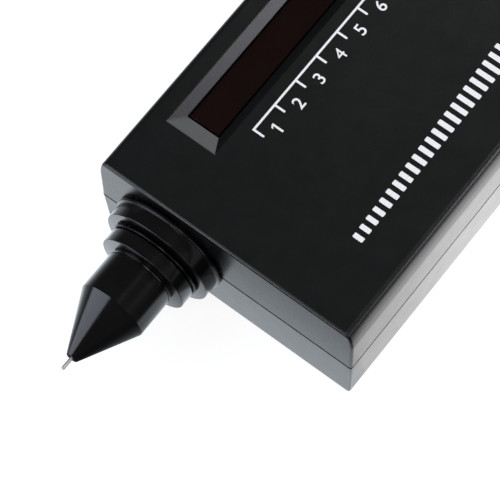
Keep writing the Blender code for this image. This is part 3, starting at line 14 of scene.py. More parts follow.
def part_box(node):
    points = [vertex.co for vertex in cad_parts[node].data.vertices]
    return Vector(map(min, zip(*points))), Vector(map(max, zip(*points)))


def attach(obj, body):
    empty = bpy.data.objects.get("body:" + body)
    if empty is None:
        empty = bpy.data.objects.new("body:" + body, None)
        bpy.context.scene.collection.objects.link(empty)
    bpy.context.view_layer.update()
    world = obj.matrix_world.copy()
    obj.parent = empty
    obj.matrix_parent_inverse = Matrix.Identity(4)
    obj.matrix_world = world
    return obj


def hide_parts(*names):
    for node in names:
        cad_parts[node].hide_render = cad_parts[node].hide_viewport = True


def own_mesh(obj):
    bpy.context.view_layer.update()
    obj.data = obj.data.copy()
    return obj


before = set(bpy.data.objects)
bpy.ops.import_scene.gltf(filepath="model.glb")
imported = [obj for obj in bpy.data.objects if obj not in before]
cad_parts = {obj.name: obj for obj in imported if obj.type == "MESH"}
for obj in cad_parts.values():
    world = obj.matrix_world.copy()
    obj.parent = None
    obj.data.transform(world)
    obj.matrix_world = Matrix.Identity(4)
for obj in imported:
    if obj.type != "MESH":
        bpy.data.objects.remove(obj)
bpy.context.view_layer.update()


# Case shells
# Two halves moulded in black ABS with a fine satin grain, held together by four screws from the
# back. The upper one carries the sunken display frame, whose sloping sides have crisp mitres.

WELD_DISTANCE = 0.000001
FLAT_ANGLE = math.radians(0.4)
SMOOTH_ANGLE = math.radians(34)
EDGE_ANGLE = math.radians(20)
RIM_ANGLE = math.radians(60)
LEVEL_TOLERANCE = 0.00002
CRISP_EDGE = 0.00016
EDGE_SEGMENTS = 3
WINDOW_RIM = 0.0015
RECESS_END_REACH = 0.0039
RECESS_SIDE_REACH = 0.0023
SHOULDER_HEIGHT = 0.0056
SHOULDER_DRAW = 0.00105
SHOULDER_FACETS = 3
SHOULDER_CUTS = 12
SHOULDER_STRIP = 0.0014
CASE_DARK = (0.0034, 0.0038, 0.0038)
CASE_LIGHT = (0.0046, 0.0051, 0.0051)
CASE_ROUGHNESS = 0.27
CASE_GRAIN_SIZE = 0.00022
CASE_GRAIN_DEPTH = 0.0000018
FLOW_SIZE = 0.02
RUBBED_SIZE = 0.004
RUBBED_GLOSS_SHARE = 0.95
RUBBED_DULL_SHARE = 1.06
NOISE_LOW = 0.3
NOISE_HIGH = 0.7
SHADES_START = 0.35
SHADES_END = 0.65


def new_finish(name):
    """A new finish: its material and its shader."""
    material = bpy.data.materials.new(name)
    material.use_nodes = True
    return material, material.node_tree.nodes["Principled BSDF"]


def add_node(material, kind, **settings):
    """One shader node. A capitalised setting is an input, given as a value or as an output."""
    made = material.node_tree.nodes.new("ShaderNode" + kind)
    for name, value in settings.items():
        if not name[0].isupper():
            setattr(made, name, value)
            continue
        socket = made.inputs[name.replace("_", " ")]
        if isinstance(value, bpy.types.NodeSocket):
            material.node_tree.links.new(value, socket)
        else:
            socket.default_value = value
    return made


def feed(material, output, socket):
    material.node_tree.links.new(output, socket)


def patches(material, size, stretch=(1, 1, 1), detail=2):
    """Soft random patches of about one size, which may be drawn out along an axis."""
    place = add_node(material, "TexCoord").outputs["Object"]
    scale = [1 / (size * share) for share in stretch]
    scaled = add_node(material, "Mapping", Vector=place, Scale=scale).outputs["Vector"]
    return add_node(material, "TexNoise", Vector=scaled, Scale=1, Detail=detail).outputs["Fac"]


def spread(material, value, low, high):
    """The middle of a random value, spread over a range."""
    return add_node(material, "MapRange", Value=value, From_Min=NOISE_LOW, From_Max=NOISE_HIGH,
                    To_Min=low, To_Max=high).outputs["Result"]


def shades(material, value, dark, light, start=SHADES_START, end=SHADES_END):
    """A random value as a colour between two shades."""
    ramp = add_node(material, "ValToRGB", Fac=value)
    first, last = ramp.color_ramp.elements
    first.position = start
    first.color = (*dark, 1)
    last.position = end
    last.color = (*light, 1)
    return ramp.outputs["Color"]


def relief(material, shader, *layers):
    """Surface relief from pairs of a value and its depth, laid over each other."""
    below = None
    for value, depth in layers:
        bump = add_node(material, "Bump", Height=value, Distance=depth)
        if below:
            feed(material, below, bump.inputs["Normal"])
        below = bump.outputs["Normal"]
    feed(material, below, shader.inputs["Normal"])


def moulded_plastic(name, dark, light, roughness, grain_size, grain_depth):
    """Moulded plastic: faint clouds in its shade, handled patches in its gloss, a fine grain."""
    material, shader = new_finish(name)
    flow = patches(material, FLOW_SIZE, detail=3)
    rubbed = patches(material, RUBBED_SIZE, detail=4)
    grain = patches(material, grain_size, detail=3)
    feed(material, shades(material, flow, dark, light), shader.inputs["Base Color"])
    gloss = spread(material, rubbed, roughness * RUBBED_GLOSS_SHARE,
                   roughness * RUBBED_DULL_SHARE)
    feed(material, gloss, shader.inputs["Roughness"])
    relief(material, shader, (rubbed, grain_depth), (grain, grain_depth))
    return material


def clean_copy(node):
    """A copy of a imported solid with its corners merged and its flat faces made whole."""
    form = bmesh.new()
    form.from_mesh(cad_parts[node].data)
    bmesh.ops.remove_doubles(form, verts=form.verts, dist=WELD_DISTANCE)
    bmesh.ops.dissolve_limit(form, angle_limit=FLAT_ANGLE, verts=form.verts, edges=form.edges)
    return form


def cut_level(form, z):
    """Cuts a form at a height and gives the new corners."""
    everything = form.verts[:] + form.edges[:] + form.faces[:]
    made = bmesh.ops.bisect_plane(form, geom=everything, plane_co=(0, 0, z), plane_no=(0, 0, 1))
    return [part for part in made["geom_cut"] if isinstance(part, bmesh.types.BMVert)]


def soften(form, edges, width, segments=EDGE_SEGMENTS):
    """A small rounding on the given edges."""
    bmesh.ops.bevel(form, geom=edges, offset=width, segments=segments, profile=0.5,
                    affect="EDGES", clamp_overlap=True, material=-1)


def sharp_edges(form, least=EDGE_ANGLE):
    return [edge for edge in form.edges
            if edge.is_manifold and edge.calc_face_angle() > least]


def link_piece(name, form, finish, slot, body, *nodes, smooth=SMOOTH_ANGLE):
    """Links a finished piece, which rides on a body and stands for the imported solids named."""
    mesh = bpy.data.meshes.new(name)
    form.to_mesh(mesh)
    form.free()
    mesh.shade_smooth()
    mesh.set_sharp_from_angle(angle=smooth)
    mesh.materials.append(finish)
    made = bpy.data.objects.new(name, mesh)
    bpy.context.scene.collection.objects.link(made)
    normals = made.modifiers.new("level faces", "WEIGHTED_NORMAL")
    normals.keep_sharp = True
    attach(made, body)
    if nodes:
        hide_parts(*nodes)
    return made


case_black = moulded_plastic("case_black", CASE_DARK, CASE_LIGHT, CASE_ROUGHNESS,
                             CASE_GRAIN_SIZE, CASE_GRAIN_DEPTH)
window_low, window_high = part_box("display_window")
upper_low, upper_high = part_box("upper_shell")


def in_recess(place):
    return (window_low.x + WINDOW_RIM - RECESS_END_REACH < place.x
            < window_high.x - WINDOW_RIM + RECESS_END_REACH
            and window_low.y + WINDOW_RIM - RECESS_SIDE_REACH < place.y
            < window_high.y - WINDOW_RIM + RECESS_SIDE_REACH)


def on_display_side(edge):
    """An edge of the recess, or of a hole in the display face."""
    low, high = sorted(corner.co.z for corner in edge.verts)
    if low < window_high.z - LEVEL_TOLERANCE:
        return False
    middle = (edge.verts[0].co + edge.verts[1].co) / 2
    return low > upper_high.z - LEVEL_TOLERANCE or in_recess(middle)


upper_form = clean_copy("upper_shell")
shoulder_foot = upper_high.z - SHOULDER_HEIGHT
side_reach = upper_high.y - SHOULDER_STRIP
for step in range(1, SHOULDER_CUTS):
    rise = step / SHOULDER_CUTS
    below = math.floor(rise * SHOULDER_FACETS) / SHOULDER_FACETS
    above = below + 1 / SHOULDER_FACETS
    if min(rise - below, above - rise) < LEVEL_TOLERANCE:
        continue
    bulge = SHOULDER_DRAW * (rise - below) * (above - rise)
    for corner in cut_level(upper_form, shoulder_foot + SHOULDER_HEIGHT * rise):
        if abs(corner.co.y) > side_reach:
            corner.co.y += math.copysign(bulge, corner.co.y)
soften(upper_form, [edge for edge in sharp_edges(upper_form) if on_display_side(edge)],
       CRISP_EDGE)
link_piece("case_upper_half", upper_form, case_black, "case_black", "case", "upper_shell")

lower_form = clean_copy("lower_shell")
soften(lower_form, [edge for edge in sharp_edges(lower_form, RIM_ANGLE)
                    if max(abs(corner.co.z) for corner in edge.verts) < LEVEL_TOLERANCE],
       CRISP_EDGE)
link_piece("case_lower_half", lower_form, case_black, "case_black", "case", "lower_shell")


# Battery door
# A plate moulded in the same plastic, with finger grooves. It slides out of the tail along two
# rails inside the lower half and closes the battery bay flush with the back.

door_form = clean_copy("battery_door")
link_piece("sliding_battery_door", door_form, case_black, "case_black", "door", "battery_door")


# Case and board screws
# Plated pan-head steel screws. Four go up from wells in the back and hold the halves together,
# and three hold the board to its posts.

CASE_SCREW_COUNT = 4
BOARD_SCREW_COUNT = 3
STEEL_DARK = (0.42, 0.43, 0.44)
STEEL_LIGHT = (0.6, 0.61, 0.62)
STEEL_ROUGHNESS = 0.3
METAL_CLOUD_SIZE = 0.002
TOOL_MARK_SIZE = 0.00006
TOOL_MARK_DEPTH = 0.000001
TOOL_MARK_GLOSS_SHARE = 0.8
TOOL_MARK_DULL_SHARE = 1.25


def turned_metal(name, dark, light, roughness, stretch=(1, 1, 1)):
    """Bare metal with fine tool marks drawn out along the given axes."""
    material, shader = new_finish(name)
    shader.inputs["Metallic"].default_value = 1
    marks = patches(material, TOOL_MARK_SIZE, stretch=stretch, detail=3)
    cloud = patches(material, METAL_CLOUD_SIZE, detail=3)
    feed(material, shades(material, cloud, dark, light), shader.inputs["Base Color"])
    gloss = spread(material, marks, roughness * TOOL_MARK_GLOSS_SHARE,
                   roughness * TOOL_MARK_DULL_SHARE)
    feed(material, gloss, shader.inputs["Roughness"])
    relief(material, shader, (marks, TOOL_MARK_DEPTH))
    return material


steel = turned_metal("steel", STEEL_DARK, STEEL_LIGHT, STEEL_ROUGHNESS)
screw_nodes = [f"case_screw_{index + 1}" for index in range(CASE_SCREW_COUNT)]
screw_nodes += [f"board_screw_{index + 1}" for index in range(BOARD_SCREW_COUNT)]
for node in screw_nodes:
    link_piece(f"plated_{node}", clean_copy(node), steel, "steel", "case", node)


# Circuit board and the parts soldered under it
# A glass-fibre board with green solder mask over its traces, held to three posts. Under it are two
# bar drivers, an amplifier, a buzzer, trimmers, the dial's switch and small parts on leads.

MASK_DARK = (0.012, 0.1, 0.04, 1)
MASK_LIGHT = (0.015, 0.13, 0.05, 1)
MASK_OVER_TRACES = (0.05, 0.24, 0.09, 1)
MASK_ROUGHNESS = 0.38
TRACE_GRID_SCALE = 260
TRACE_SHARE = 0.035
TRACE_HEIGHT = 0.00002

board_green, board_shader = new_finish("board_green")
board_place = add_node(board_green, "TexCoord").outputs["Object"]
board_traces = add_node(board_green, "TexBrick", Vector=board_place, Scale=TRACE_GRID_SCALE,
                        Mortar_Size=TRACE_SHARE, Color1=MASK_DARK, Color2=MASK_LIGHT,
                        Mortar=MASK_OVER_TRACES)
feed(board_green, board_traces.outputs["Color"], board_shader.inputs["Base Color"])
board_shader.inputs["Roughness"].default_value = MASK_ROUGHNESS
relief(board_green, board_shader, (board_traces.outputs["Fac"], TRACE_HEIGHT))
link_piece("green_circuit_board", clean_copy("circuit_board"), board_green, "board_green",
           "case", "circuit_board")

# Each plastic's dark shade, light shade, roughness, grain size and grain depth.
PART_PLASTICS = {
    "chip_black": ((0.014, 0.014, 0.016), (0.022, 0.022, 0.024), 0.5, 0.0001, 0.000006),
    "holder_black": ((0.006, 0.006, 0.006), (0.011, 0.011, 0.011), 0.55, 0.0002, 0.000005),
    "capacitor_sleeve": ((0.015, 0.022, 0.07), (0.022, 0.032, 0.095), 0.33, 0.0004, 0.000002),
    "trimmer_blue": ((0.022, 0.09, 0.4), (0.035, 0.13, 0.52), 0.4, 0.0003, 0.000003),
}
RESISTOR_BODY = (0.55, 0.4, 0.24, 1)
RESISTOR_LEAD = (0.6, 0.6, 0.6, 1)
RESISTOR_LEAD_START = 0.82
RESISTOR_BANDS = (
    (0.3, (0.25, 0.08, 0.02, 1)), (0.34, RESISTOR_BODY),
    (0.44, (0.01, 0.01, 0.01, 1)), (0.48, RESISTOR_BODY),
    (0.54, (0.6, 0.12, 0.02, 1)), (0.58, RESISTOR_BODY),
    (0.67, (0.55, 0.36, 0.09, 1)), (0.71, RESISTOR_BODY),
)
RESISTOR_ROUGHNESS = (0.35, 0.5)
RESISTOR_PATCH_SIZE = 0.0005

part_finishes = {name: moulded_plastic(name, *look) for name, look in PART_PLASTICS.items()}
holder_black = part_finishes["holder_black"]
resistor_tan, resistor_shader = new_finish("resistor_tan")
part_finishes["resistor_tan"] = resistor_tan
resistor_low, resistor_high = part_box("resistor_1")
resistor_x = add_node(resistor_tan, "SeparateXYZ", Vector=add_node(
    resistor_tan, "TexCoord").outputs["Object"]).outputs["X"]
resistor_span = add_node(resistor_tan, "MapRange", Value=resistor_x, From_Min=resistor_low.x,
                         From_Max=resistor_high.x).outputs["Result"]
resistor_ramp = add_node(resistor_tan, "ValToRGB", Fac=resistor_span)
resistor_ramp.color_ramp.interpolation = "CONSTANT"
resistor_ramp.color_ramp.elements[0].color = RESISTOR_BODY
resistor_ramp.color_ramp.elements[1].position = RESISTOR_LEAD_START
resistor_ramp.color_ramp.elements[1].color = RESISTOR_LEAD
for position, colour in RESISTOR_BANDS:
    resistor_ramp.color_ramp.elements.new(position).color = colour
feed(resistor_tan, resistor_ramp.outputs["Color"], resistor_shader.inputs["Base Color"])
resistor_gloss = spread(resistor_tan, patches(resistor_tan, RESISTOR_PATCH_SIZE),
                        *RESISTOR_ROUGHNESS)
feed(resistor_tan, resistor_gloss, resistor_shader.inputs["Roughness"])

SOLDERED_PARTS = {
    "chip_black": ("driver_chip_a", "driver_chip_b", "amplifier_chip"),
    "holder_black": ("buzzer",),
    "trimmer_blue": ("trimmer_1", "trimmer_2", "dial_switch"),
    "capacitor_sleeve": ("capacitor_1", "capacitor_2", "capacitor_3"),
    "resistor_tan": ("resistor_1", "resistor_2", "resistor_3", "resistor_4"),
}
for slot, nodes in SOLDERED_PARTS.items():
    for node in nodes:
        link_piece(f"soldered_{node}", clean_copy(node), part_finishes[slot], slot, "case", node)


# Lamps
# Twelve flat epoxy lamps in a black divider strip, three green, three yellow and six red, and
# the round red lamp that says that the probe is warm.

LAMP_TINTS = {
    "green": ((0.07, 0.5, 0.1), (0.1, 0.62, 0.14)),
    "yellow": ((0.7, 0.5, 0.04), (0.8, 0.6, 0.06)),
    "red": ((0.6, 0.025, 0.015), (0.72, 0.035, 0.02)),
}
LAMP_ROUGHNESS = (0.18, 0.28)
MILK_SIZE = 0.0006
MILK_DEPTH = 0.000004


def lamp_epoxy(name, dark, light):
    """Diffused epoxy: an even milky tint with a gloss skin."""
    material, shader = new_finish(name)
    milk = patches(material, MILK_SIZE)
    feed(material, shades(material, milk, dark, light), shader.inputs["Base Color"])
    feed(material, spread(material, milk, *LAMP_ROUGHNESS), shader.inputs["Roughness"])
    relief(material, shader, (milk, MILK_DEPTH))
    return material


lamp_finishes = {colour: lamp_epoxy(f"lamp_{colour}", *tints)
                 for colour, tints in LAMP_TINTS.items()}
link_piece("lamp_divider_strip", clean_copy("led_holder"), holder_black, "holder_black", "case",
           "led_holder")
for node in sorted(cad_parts):
    if node.startswith("led_") and node != "led_holder":
        colour = node.rsplit("_", 1)[1]
        link_piece(f"epoxy_{node}", clean_copy(node), lamp_finishes[colour], f"lamp_{colour}",
                   "case", node)
link_piece("epoxy_ready_lamp", clean_copy("ready_led"), lamp_finishes["red"], "lamp_red", "case",
           "ready_led")


# Display window
# A stepped plate of clear plastic dyed a deep red. It is pushed up behind the recess from inside,
# until its rim meets the ledge.

WINDOW_EDGE = 0.0001
WINDOW_TINTS = ((0.04, 0.008, 0.006), (0.052, 0.0105, 0.0075))
WINDOW_ROUGHNESS = (0.05, 0.09)
WINDOW_CLEARNESS = 0.9
WINDOW_IOR = 1.49
WINDOW_WAVE_SIZE = 0.006
WINDOW_WAVE_STRETCH = (2, 1, 1)
WINDOW_WAVE_DEPTH = 0.00001

window_red, window_shader = new_finish("window_red")
window_waves = patches(window_red, WINDOW_WAVE_SIZE, stretch=WINDOW_WAVE_STRETCH)
feed(window_red, shades(window_red, window_waves, *WINDOW_TINTS),
     window_shader.inputs["Base Color"])
feed(window_red, spread(window_red, window_waves, *WINDOW_ROUGHNESS),
     window_shader.inputs["Roughness"])
window_shader.inputs["Transmission Weight"].default_value = WINDOW_CLEARNESS
window_shader.inputs["IOR"].default_value = WINDOW_IOR
relief(window_red, window_shader, (window_waves, WINDOW_WAVE_DEPTH))
window_form = clean_copy("display_window")
soften(window_form, [edge for edge in sharp_edges(window_form, RIM_ANGLE)
                     if min(corner.co.z for corner in edge.verts)
                     > window_high.z - LEVEL_TOLERANCE], WINDOW_EDGE)
link_piece("clear_red_window", window_form, window_red, "window_red", "case", "display_window")


# Printed scale
# White ink screened on the case: a line along the window with a tick at each step, and the
# plain numbers of the twelve steps between the ticks.

INK_THICKNESS = 0.00002
INK_SINK = 0.00001
INK_SHADES = ((0.88, 0.88, 0.87), (0.94, 0.94, 0.93))
INK_ROUGHNESS = (0.4, 0.55)
INK_MOTTLE_SIZE = 0.0003
INK_MOTTLE_DEPTH = 0.000003
STEP_COUNT = 12
SCALE_STROKE = 0.00045
SCALE_LINE_INSET = 0.00468
TICK_LENGTH = 0.00225
TICK_END_SHARE = 0.9
TICK_END_SEGMENTS = 4
NUMBER_HEIGHT = 0.00258
NUMBER_DROP = 0.00332
NUMBER_SHIFT = 0.0002
NUMBER_BOLDNESS = 0.009
FOUR_BOLDNESS = 0.001
# Shares of a digit's height
DIGIT_PITCH = 0.66
DIGIT_HEAD = 0.5
FLAG_REACH = 0.2
FLAG_DROP = 0.15
FLAG_DEPTH = 0.16

white_ink, ink_shader = new_finish("white_ink")
ink_mottle = patches(white_ink, INK_MOTTLE_SIZE, detail=3)
feed(white_ink, shades(white_ink, ink_mottle, *INK_SHADES), ink_shader.inputs["Base Color"])
feed(white_ink, spread(white_ink, ink_mottle, *INK_ROUGHNESS), ink_shader.inputs["Roughness"])
relief(white_ink, ink_shader, (ink_mottle, INK_MOTTLE_DEPTH))

lamp_middles = []
for node in ("led_1_green", "led_2_green"):
    low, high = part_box(node)
    lamp_middles.append((low + high) / 2)
step_length = lamp_middles[1].x - lamp_middles[0].x
scale_start = lamp_middles[0].x - step_length / 2
scale_y = window_low.y + WINDOW_RIM - SCALE_LINE_INSET
ink_foot = upper_high.z - INK_SINK


def thicken(form):
    """Gives flat print its thickness and sets it on the display face."""
    faces = list(form.faces)
    raised = bmesh.ops.extrude_face_region(form, geom=faces, use_keep_orig=True)
    corners = [part for part in raised["geom"] if isinstance(part, bmesh.types.BMVert)]
    bmesh.ops.translate(form, verts=corners, vec=(0, 0, INK_THICKNESS))
    bmesh.ops.translate(form, verts=form.verts, vec=(0, 0, ink_foot))
    bmesh.ops.recalc_face_normals(form, faces=form.faces)


def strip(form, x0, x1, y0, y1):
    """A flat level rectangle."""
    made = bmesh.ops.create_grid(form, x_segments=1, y_segments=1, size=0.5)
    bmesh.ops.scale(form, verts=made["verts"], vec=(x1 - x0, y1 - y0, 1))
    bmesh.ops.translate(form, verts=made["verts"], vec=((x0 + x1) / 2, (y0 + y1) / 2, 0))
    return made["verts"]


scale_form = bmesh.new()
half_stroke = SCALE_STROKE / 2
tick_places = [scale_start + index * step_length for index in range(STEP_COUNT + 1)]
strip(scale_form, tick_places[0] - half_stroke, tick_places[-1] + half_stroke,
      scale_y - half_stroke, scale_y + half_stroke)
for tick in tick_places:
    for side in (tick - half_stroke, tick + half_stroke):
        bmesh.ops.bisect_plane(scale_form, geom=scale_form.verts[:] + scale_form.edges[:]
                               + scale_form.faces[:], plane_co=(side, 0, 0), plane_no=(1, 0, 0))
tick_roots = []
for edge in scale_form.edges:
    middle = (edge.verts[0].co + edge.verts[1].co) / 2
    on_low_side = middle.y < scale_y - half_stroke / 2
    if on_low_side and any(abs(middle.x - tick) < half_stroke / 2 for tick in tick_places):
        tick_roots.append(edge)
tick_parts = bmesh.ops.extrude_edge_only(scale_form, edges=tick_roots)["geom"]
tick_ends = [part for part in tick_parts if isinstance(part, bmesh.types.BMVert)]
bmesh.ops.translate(scale_form, verts=tick_ends, vec=(0, -TICK_LENGTH, 0))
bmesh.ops.bevel(scale_form, geom=tick_ends, offset=half_stroke * TICK_END_SHARE,
                segments=TICK_END_SEGMENTS, profile=0.5, affect="VERTICES", clamp_overlap=True,
                material=-1)
bmesh.ops.remove_doubles(scale_form, verts=scale_form.verts, dist=WELD_DISTANCE)
bmesh.ops.recalc_face_normals(scale_form, faces=scale_form.faces)
thicken(scale_form)
link_piece("printed_scale_line", scale_form, white_ink, "case_black", "case")


def flat_digit(digit):
    """A flat digit one unit high with its middle at zero. The 1 has a short flag."""
    text = bpy.data.curves.new("digit", "FONT")
    text.body = digit
    text.offset = FOUR_BOLDNESS if digit == "4" else NUMBER_BOLDNESS
    written = bpy.data.objects.new("digit", text)
    bpy.context.scene.collection.objects.link(written)
    flat = bpy.data.meshes.new_from_object(written)
    bpy.data.objects.remove(written)
    bpy.data.curves.remove(text)
    corners = [corner.co for corner in flat.vertices]
    left, right = min(c.x for c in corners), max(c.x for c in corners)
    foot, head = min(c.y for c in corners), max(c.y for c in corners)
    flat.transform(Matrix.Scale(1 / (head - foot), 4)
                   @ Matrix.Translation((-(left + right) / 2, -(foot + head) / 2, 0)))
    if digit == "1":
        side = min(corner.co.x for corner in flat.vertices)
        form = bmesh.new()
        form.from_mesh(flat)
        flag = [form.verts.new(corner) for corner in (
            (side, DIGIT_HEAD, 0), (side - FLAG_REACH, DIGIT_HEAD - FLAG_DROP, 0),
            (side - FLAG_REACH, DIGIT_HEAD - FLAG_DROP - FLAG_DEPTH, 0),
            (side, DIGIT_HEAD - FLAG_DEPTH, 0))]
        form.faces.new(flag)
        form.to_mesh(flat)
        form.free()
    return flat


number_form = bmesh.new()
for index in range(STEP_COUNT):
    digits = str(index + 1)
    middle_x = scale_start + (index + 0.5) * step_length - NUMBER_SHIFT
    for rank, digit in enumerate(digits):
        aside = (rank - (len(digits) - 1) / 2) * DIGIT_PITCH * NUMBER_HEIGHT
        flat = flat_digit(digit)
        flat.transform(Matrix.Translation((middle_x + aside, scale_y - NUMBER_DROP, 0))
                       @ Matrix.Scale(NUMBER_HEIGHT, 4))
        number_form.from_mesh(flat)
        bpy.data.meshes.remove(flat)
bmesh.ops.remove_doubles(number_form, verts=number_form.verts, dist=WELD_DISTANCE)
thicken(number_form)
link_piece("printed_step_numbers", number_form, white_ink, "case_black", "case")


# Printed bars
# A plain row of bars along the other long side, rising from low to high, screened in the same
# white ink.

BAR_COUNT = 36
BARS_PER_STEP = 3
BAR_WIDTH = 0.00105
BAR_LOWEST = 0.0022
BAR_HIGHEST = 0.0054
BAR_START = 0.0165
BAR_FOOT_Y = -0.0193
BAR_CORNER_SHARE = 0.2
BAR_CORNER_SEGMENTS = 3

bar_form = bmesh.new()
bar_pitch = step_length / BARS_PER_STEP
for index in range(BAR_COUNT):
    height = BAR_LOWEST + (BAR_HIGHEST - BAR_LOWEST) * index / (BAR_COUNT - 1)
    start = upper_low.x + BAR_START + index * bar_pitch
    corners = strip(bar_form, start, start + BAR_WIDTH, BAR_FOOT_Y, BAR_FOOT_Y + height)
    bmesh.ops.bevel(bar_form, geom=corners, offset=BAR_WIDTH * BAR_CORNER_SHARE,
                    segments=BAR_CORNER_SEGMENTS, profile=0.5, affect="VERTICES", material=-1)
thicken(bar_form)
link_piece("printed_level_bars", bar_form, white_ink, "case_black", "case")


# Probe collar, washer and nose cone
# Gloss black pieces turned on one axis: the collar clamps the case wall, a thin washer lies
# between the two flanges, and the cone carries the pin.

TURNING_STEPS = 96
TURNED_SMOOTH_ANGLE = math.radians(24)
TURNED_EDGE_SEGMENTS = 5
RING_EDGE_ANGLE = math.radians(50)
RING_EDGE = 0.00015
WASHER_EDGE = 0.000075
PROBE_SHADES = ((0.0022, 0.0022, 0.0024), (0.0036, 0.0036, 0.0038))
PROBE_ROUGHNESS = (0.13, 0.19)
PROBE_CLOUD_SIZE = 0.004
LATHE_LINE_SIZE = 0.00009
LATHE_LINE_STRETCH = (1, 60, 60)
LATHE_LINE_DEPTH = 0.0000012
FLANGE_CAMBER = math.radians(4)
COLLAR_BASE_LENGTH = 0.0006
COLLAR_FLANGE_LENGTH = 0.0035
COLLAR_RADIUS = 0.01175
COLLAR_NECK_RADIUS = 0.009
COLLAR_BACK_RADIUS = 0.0112
COLLAR_BACK_LENGTH = 0.002
BORE_RADIUS = 0.0072
CONE_SPIGOT_RADIUS = 0.0069
CONE_FLANGE_LENGTH = 0.0031
CONE_NECK_RADIUS = 0.0066
CONE_NECK_LENGTH = 0.0005
BARREL_RADIUS = 0.00705
BARREL_LENGTH = 0.0084
CONE_LENGTH = 0.0114
TIP_RADIUS = 0.00141
TIP_FACE_SHARE = 0.8
TIP_LENGTH = 0.0005
TIP_BORE_RADIUS = 0.00065
SHANK_BORE_RADIUS = 0.0015
SHANK_BORE_LENGTH = 0.0091
SLIDE_BORE_RADIUS = 0.0042
SLIDE_BORE_LENGTH = 0.007
SPIGOT_BORE_RADIUS = 0.0052
SPIGOT_BORE_LENGTH = 0.0037

probe_black, probe_shader = new_finish("probe_black")
lathe_lines = patches(probe_black, LATHE_LINE_SIZE, stretch=LATHE_LINE_STRETCH, detail=3)
probe_cloud = patches(probe_black, PROBE_CLOUD_SIZE, detail=3)
feed(probe_black, shades(probe_black, probe_cloud, *PROBE_SHADES),
     probe_shader.inputs["Base Color"])
feed(probe_black, spread(probe_black, lathe_lines, *PROBE_ROUGHNESS),
     probe_shader.inputs["Roughness"])
relief(probe_black, probe_shader, (lathe_lines, LATHE_LINE_DEPTH))

cone_low, cone_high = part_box("nose_cone")
axis_place = (cone_low + cone_high) / 2
flange_radius = (cone_high.z - cone_low.z) / 2


def turned(profile, edge=0, steps=TURNING_STEPS, closed=True):
    """A profile of (X, radius) turned on the probe's axis. Its ring edges may be rounded."""
    form = bmesh.new()
    points = [form.verts.new((x, 0, radius)) for x, radius in profile]
    following = points[1:] + points[:1] if closed else points[1:]
    outline = [form.edges.new(pair) for pair in zip(points, following)]
    bmesh.ops.spin(form, geom=points + outline, cent=(0, 0, 0), axis=(1, 0, 0), angle=math.tau,
                   steps=steps, use_merge=True)
    bmesh.ops.remove_doubles(form, verts=form.verts, dist=WELD_DISTANCE)
    bmesh.ops.recalc_face_normals(form, faces=form.faces)
    if edge:
        soften(form, sharp_edges(form, RING_EDGE_ANGLE), edge, TURNED_EDGE_SEGMENTS)
    bmesh.ops.translate(form, verts=form.verts, vec=(0, axis_place.y, axis_place.z))
    return form


def cambered(face_x, rim_radius, root_radius):
    """Where the rim lies of a flange's front face that falls back a little from root to rim."""
    return face_x + (rim_radius - root_radius) * math.tan(FLANGE_CAMBER)


collar_low, collar_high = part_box("probe_collar")
base_head_x = collar_low.x + COLLAR_FLANGE_LENGTH
base_radius = (collar_high.z - collar_low.z) / 2
collar_seat_x = base_head_x + COLLAR_BASE_LENGTH
collar_back_x = collar_high.x - COLLAR_BACK_LENGTH
collar_form = turned([
    (collar_seat_x, COLLAR_NECK_RADIUS), (collar_seat_x, base_radius),
    (base_head_x, base_radius), (base_head_x, COLLAR_RADIUS),
    (cambered(collar_low.x, COLLAR_RADIUS, BORE_RADIUS), COLLAR_RADIUS),
    (collar_low.x, BORE_RADIUS), (collar_high.x, BORE_RADIUS),
    (collar_high.x, COLLAR_BACK_RADIUS), (collar_back_x, COLLAR_BACK_RADIUS),
    (collar_back_x, COLLAR_NECK_RADIUS)], RING_EDGE)
link_piece("gloss_probe_collar", collar_form, probe_black, "probe_black", "case", "probe_collar",
           smooth=TURNED_SMOOTH_ANGLE)

washer_low, washer_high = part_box("collar_washer")
washer_radius = (washer_high.z - washer_low.z) / 2
washer_form = turned([(washer_high.x, BORE_RADIUS), (washer_high.x, washer_radius),
                      (washer_low.x, washer_radius), (washer_low.x, BORE_RADIUS)],
                     WASHER_EDGE)
link_piece("thin_collar_washer", washer_form, probe_black, "probe_black", "case",
           "collar_washer", smooth=TURNED_SMOOTH_ANGLE)

cone_head_x = cone_low.x + TIP_LENGTH
barrel_head_x = cone_head_x + CONE_LENGTH
barrel_back_x = barrel_head_x + BARREL_LENGTH
flange_head_x = barrel_back_x + CONE_NECK_LENGTH
flange_back_x = flange_head_x + CONE_FLANGE_LENGTH
shank_bore_x = barrel_head_x - SHANK_BORE_LENGTH
slide_bore_x = flange_head_x - SLIDE_BORE_LENGTH
spigot_bore_x = cone_high.x - SPIGOT_BORE_LENGTH
cone_form = turned([
    (cone_high.x, SPIGOT_BORE_RADIUS), (cone_high.x, CONE_SPIGOT_RADIUS),
    (flange_back_x, CONE_SPIGOT_RADIUS), (flange_back_x, flange_radius),
    (cambered(flange_head_x, flange_radius, CONE_NECK_RADIUS), flange_radius),
    (flange_head_x, CONE_NECK_RADIUS),
    (barrel_back_x, CONE_NECK_RADIUS), (barrel_back_x, BARREL_RADIUS),
    (barrel_head_x, BARREL_RADIUS), (cone_head_x, TIP_RADIUS),
    (cone_low.x, TIP_RADIUS * TIP_FACE_SHARE), (cone_low.x, TIP_BORE_RADIUS),
    (shank_bore_x, TIP_BORE_RADIUS),
    (shank_bore_x, SHANK_BORE_RADIUS), (slide_bore_x, SHANK_BORE_RADIUS),
    (slide_bore_x, SLIDE_BORE_RADIUS), (spigot_bore_x, SLIDE_BORE_RADIUS),
    (spigot_bore_x, SPIGOT_BORE_RADIUS)], RING_EDGE)
link_piece("gloss_nose_cone", cone_form, probe_black, "probe_black", "case", "nose_cone",
           smooth=TURNED_SMOOTH_ANGLE)
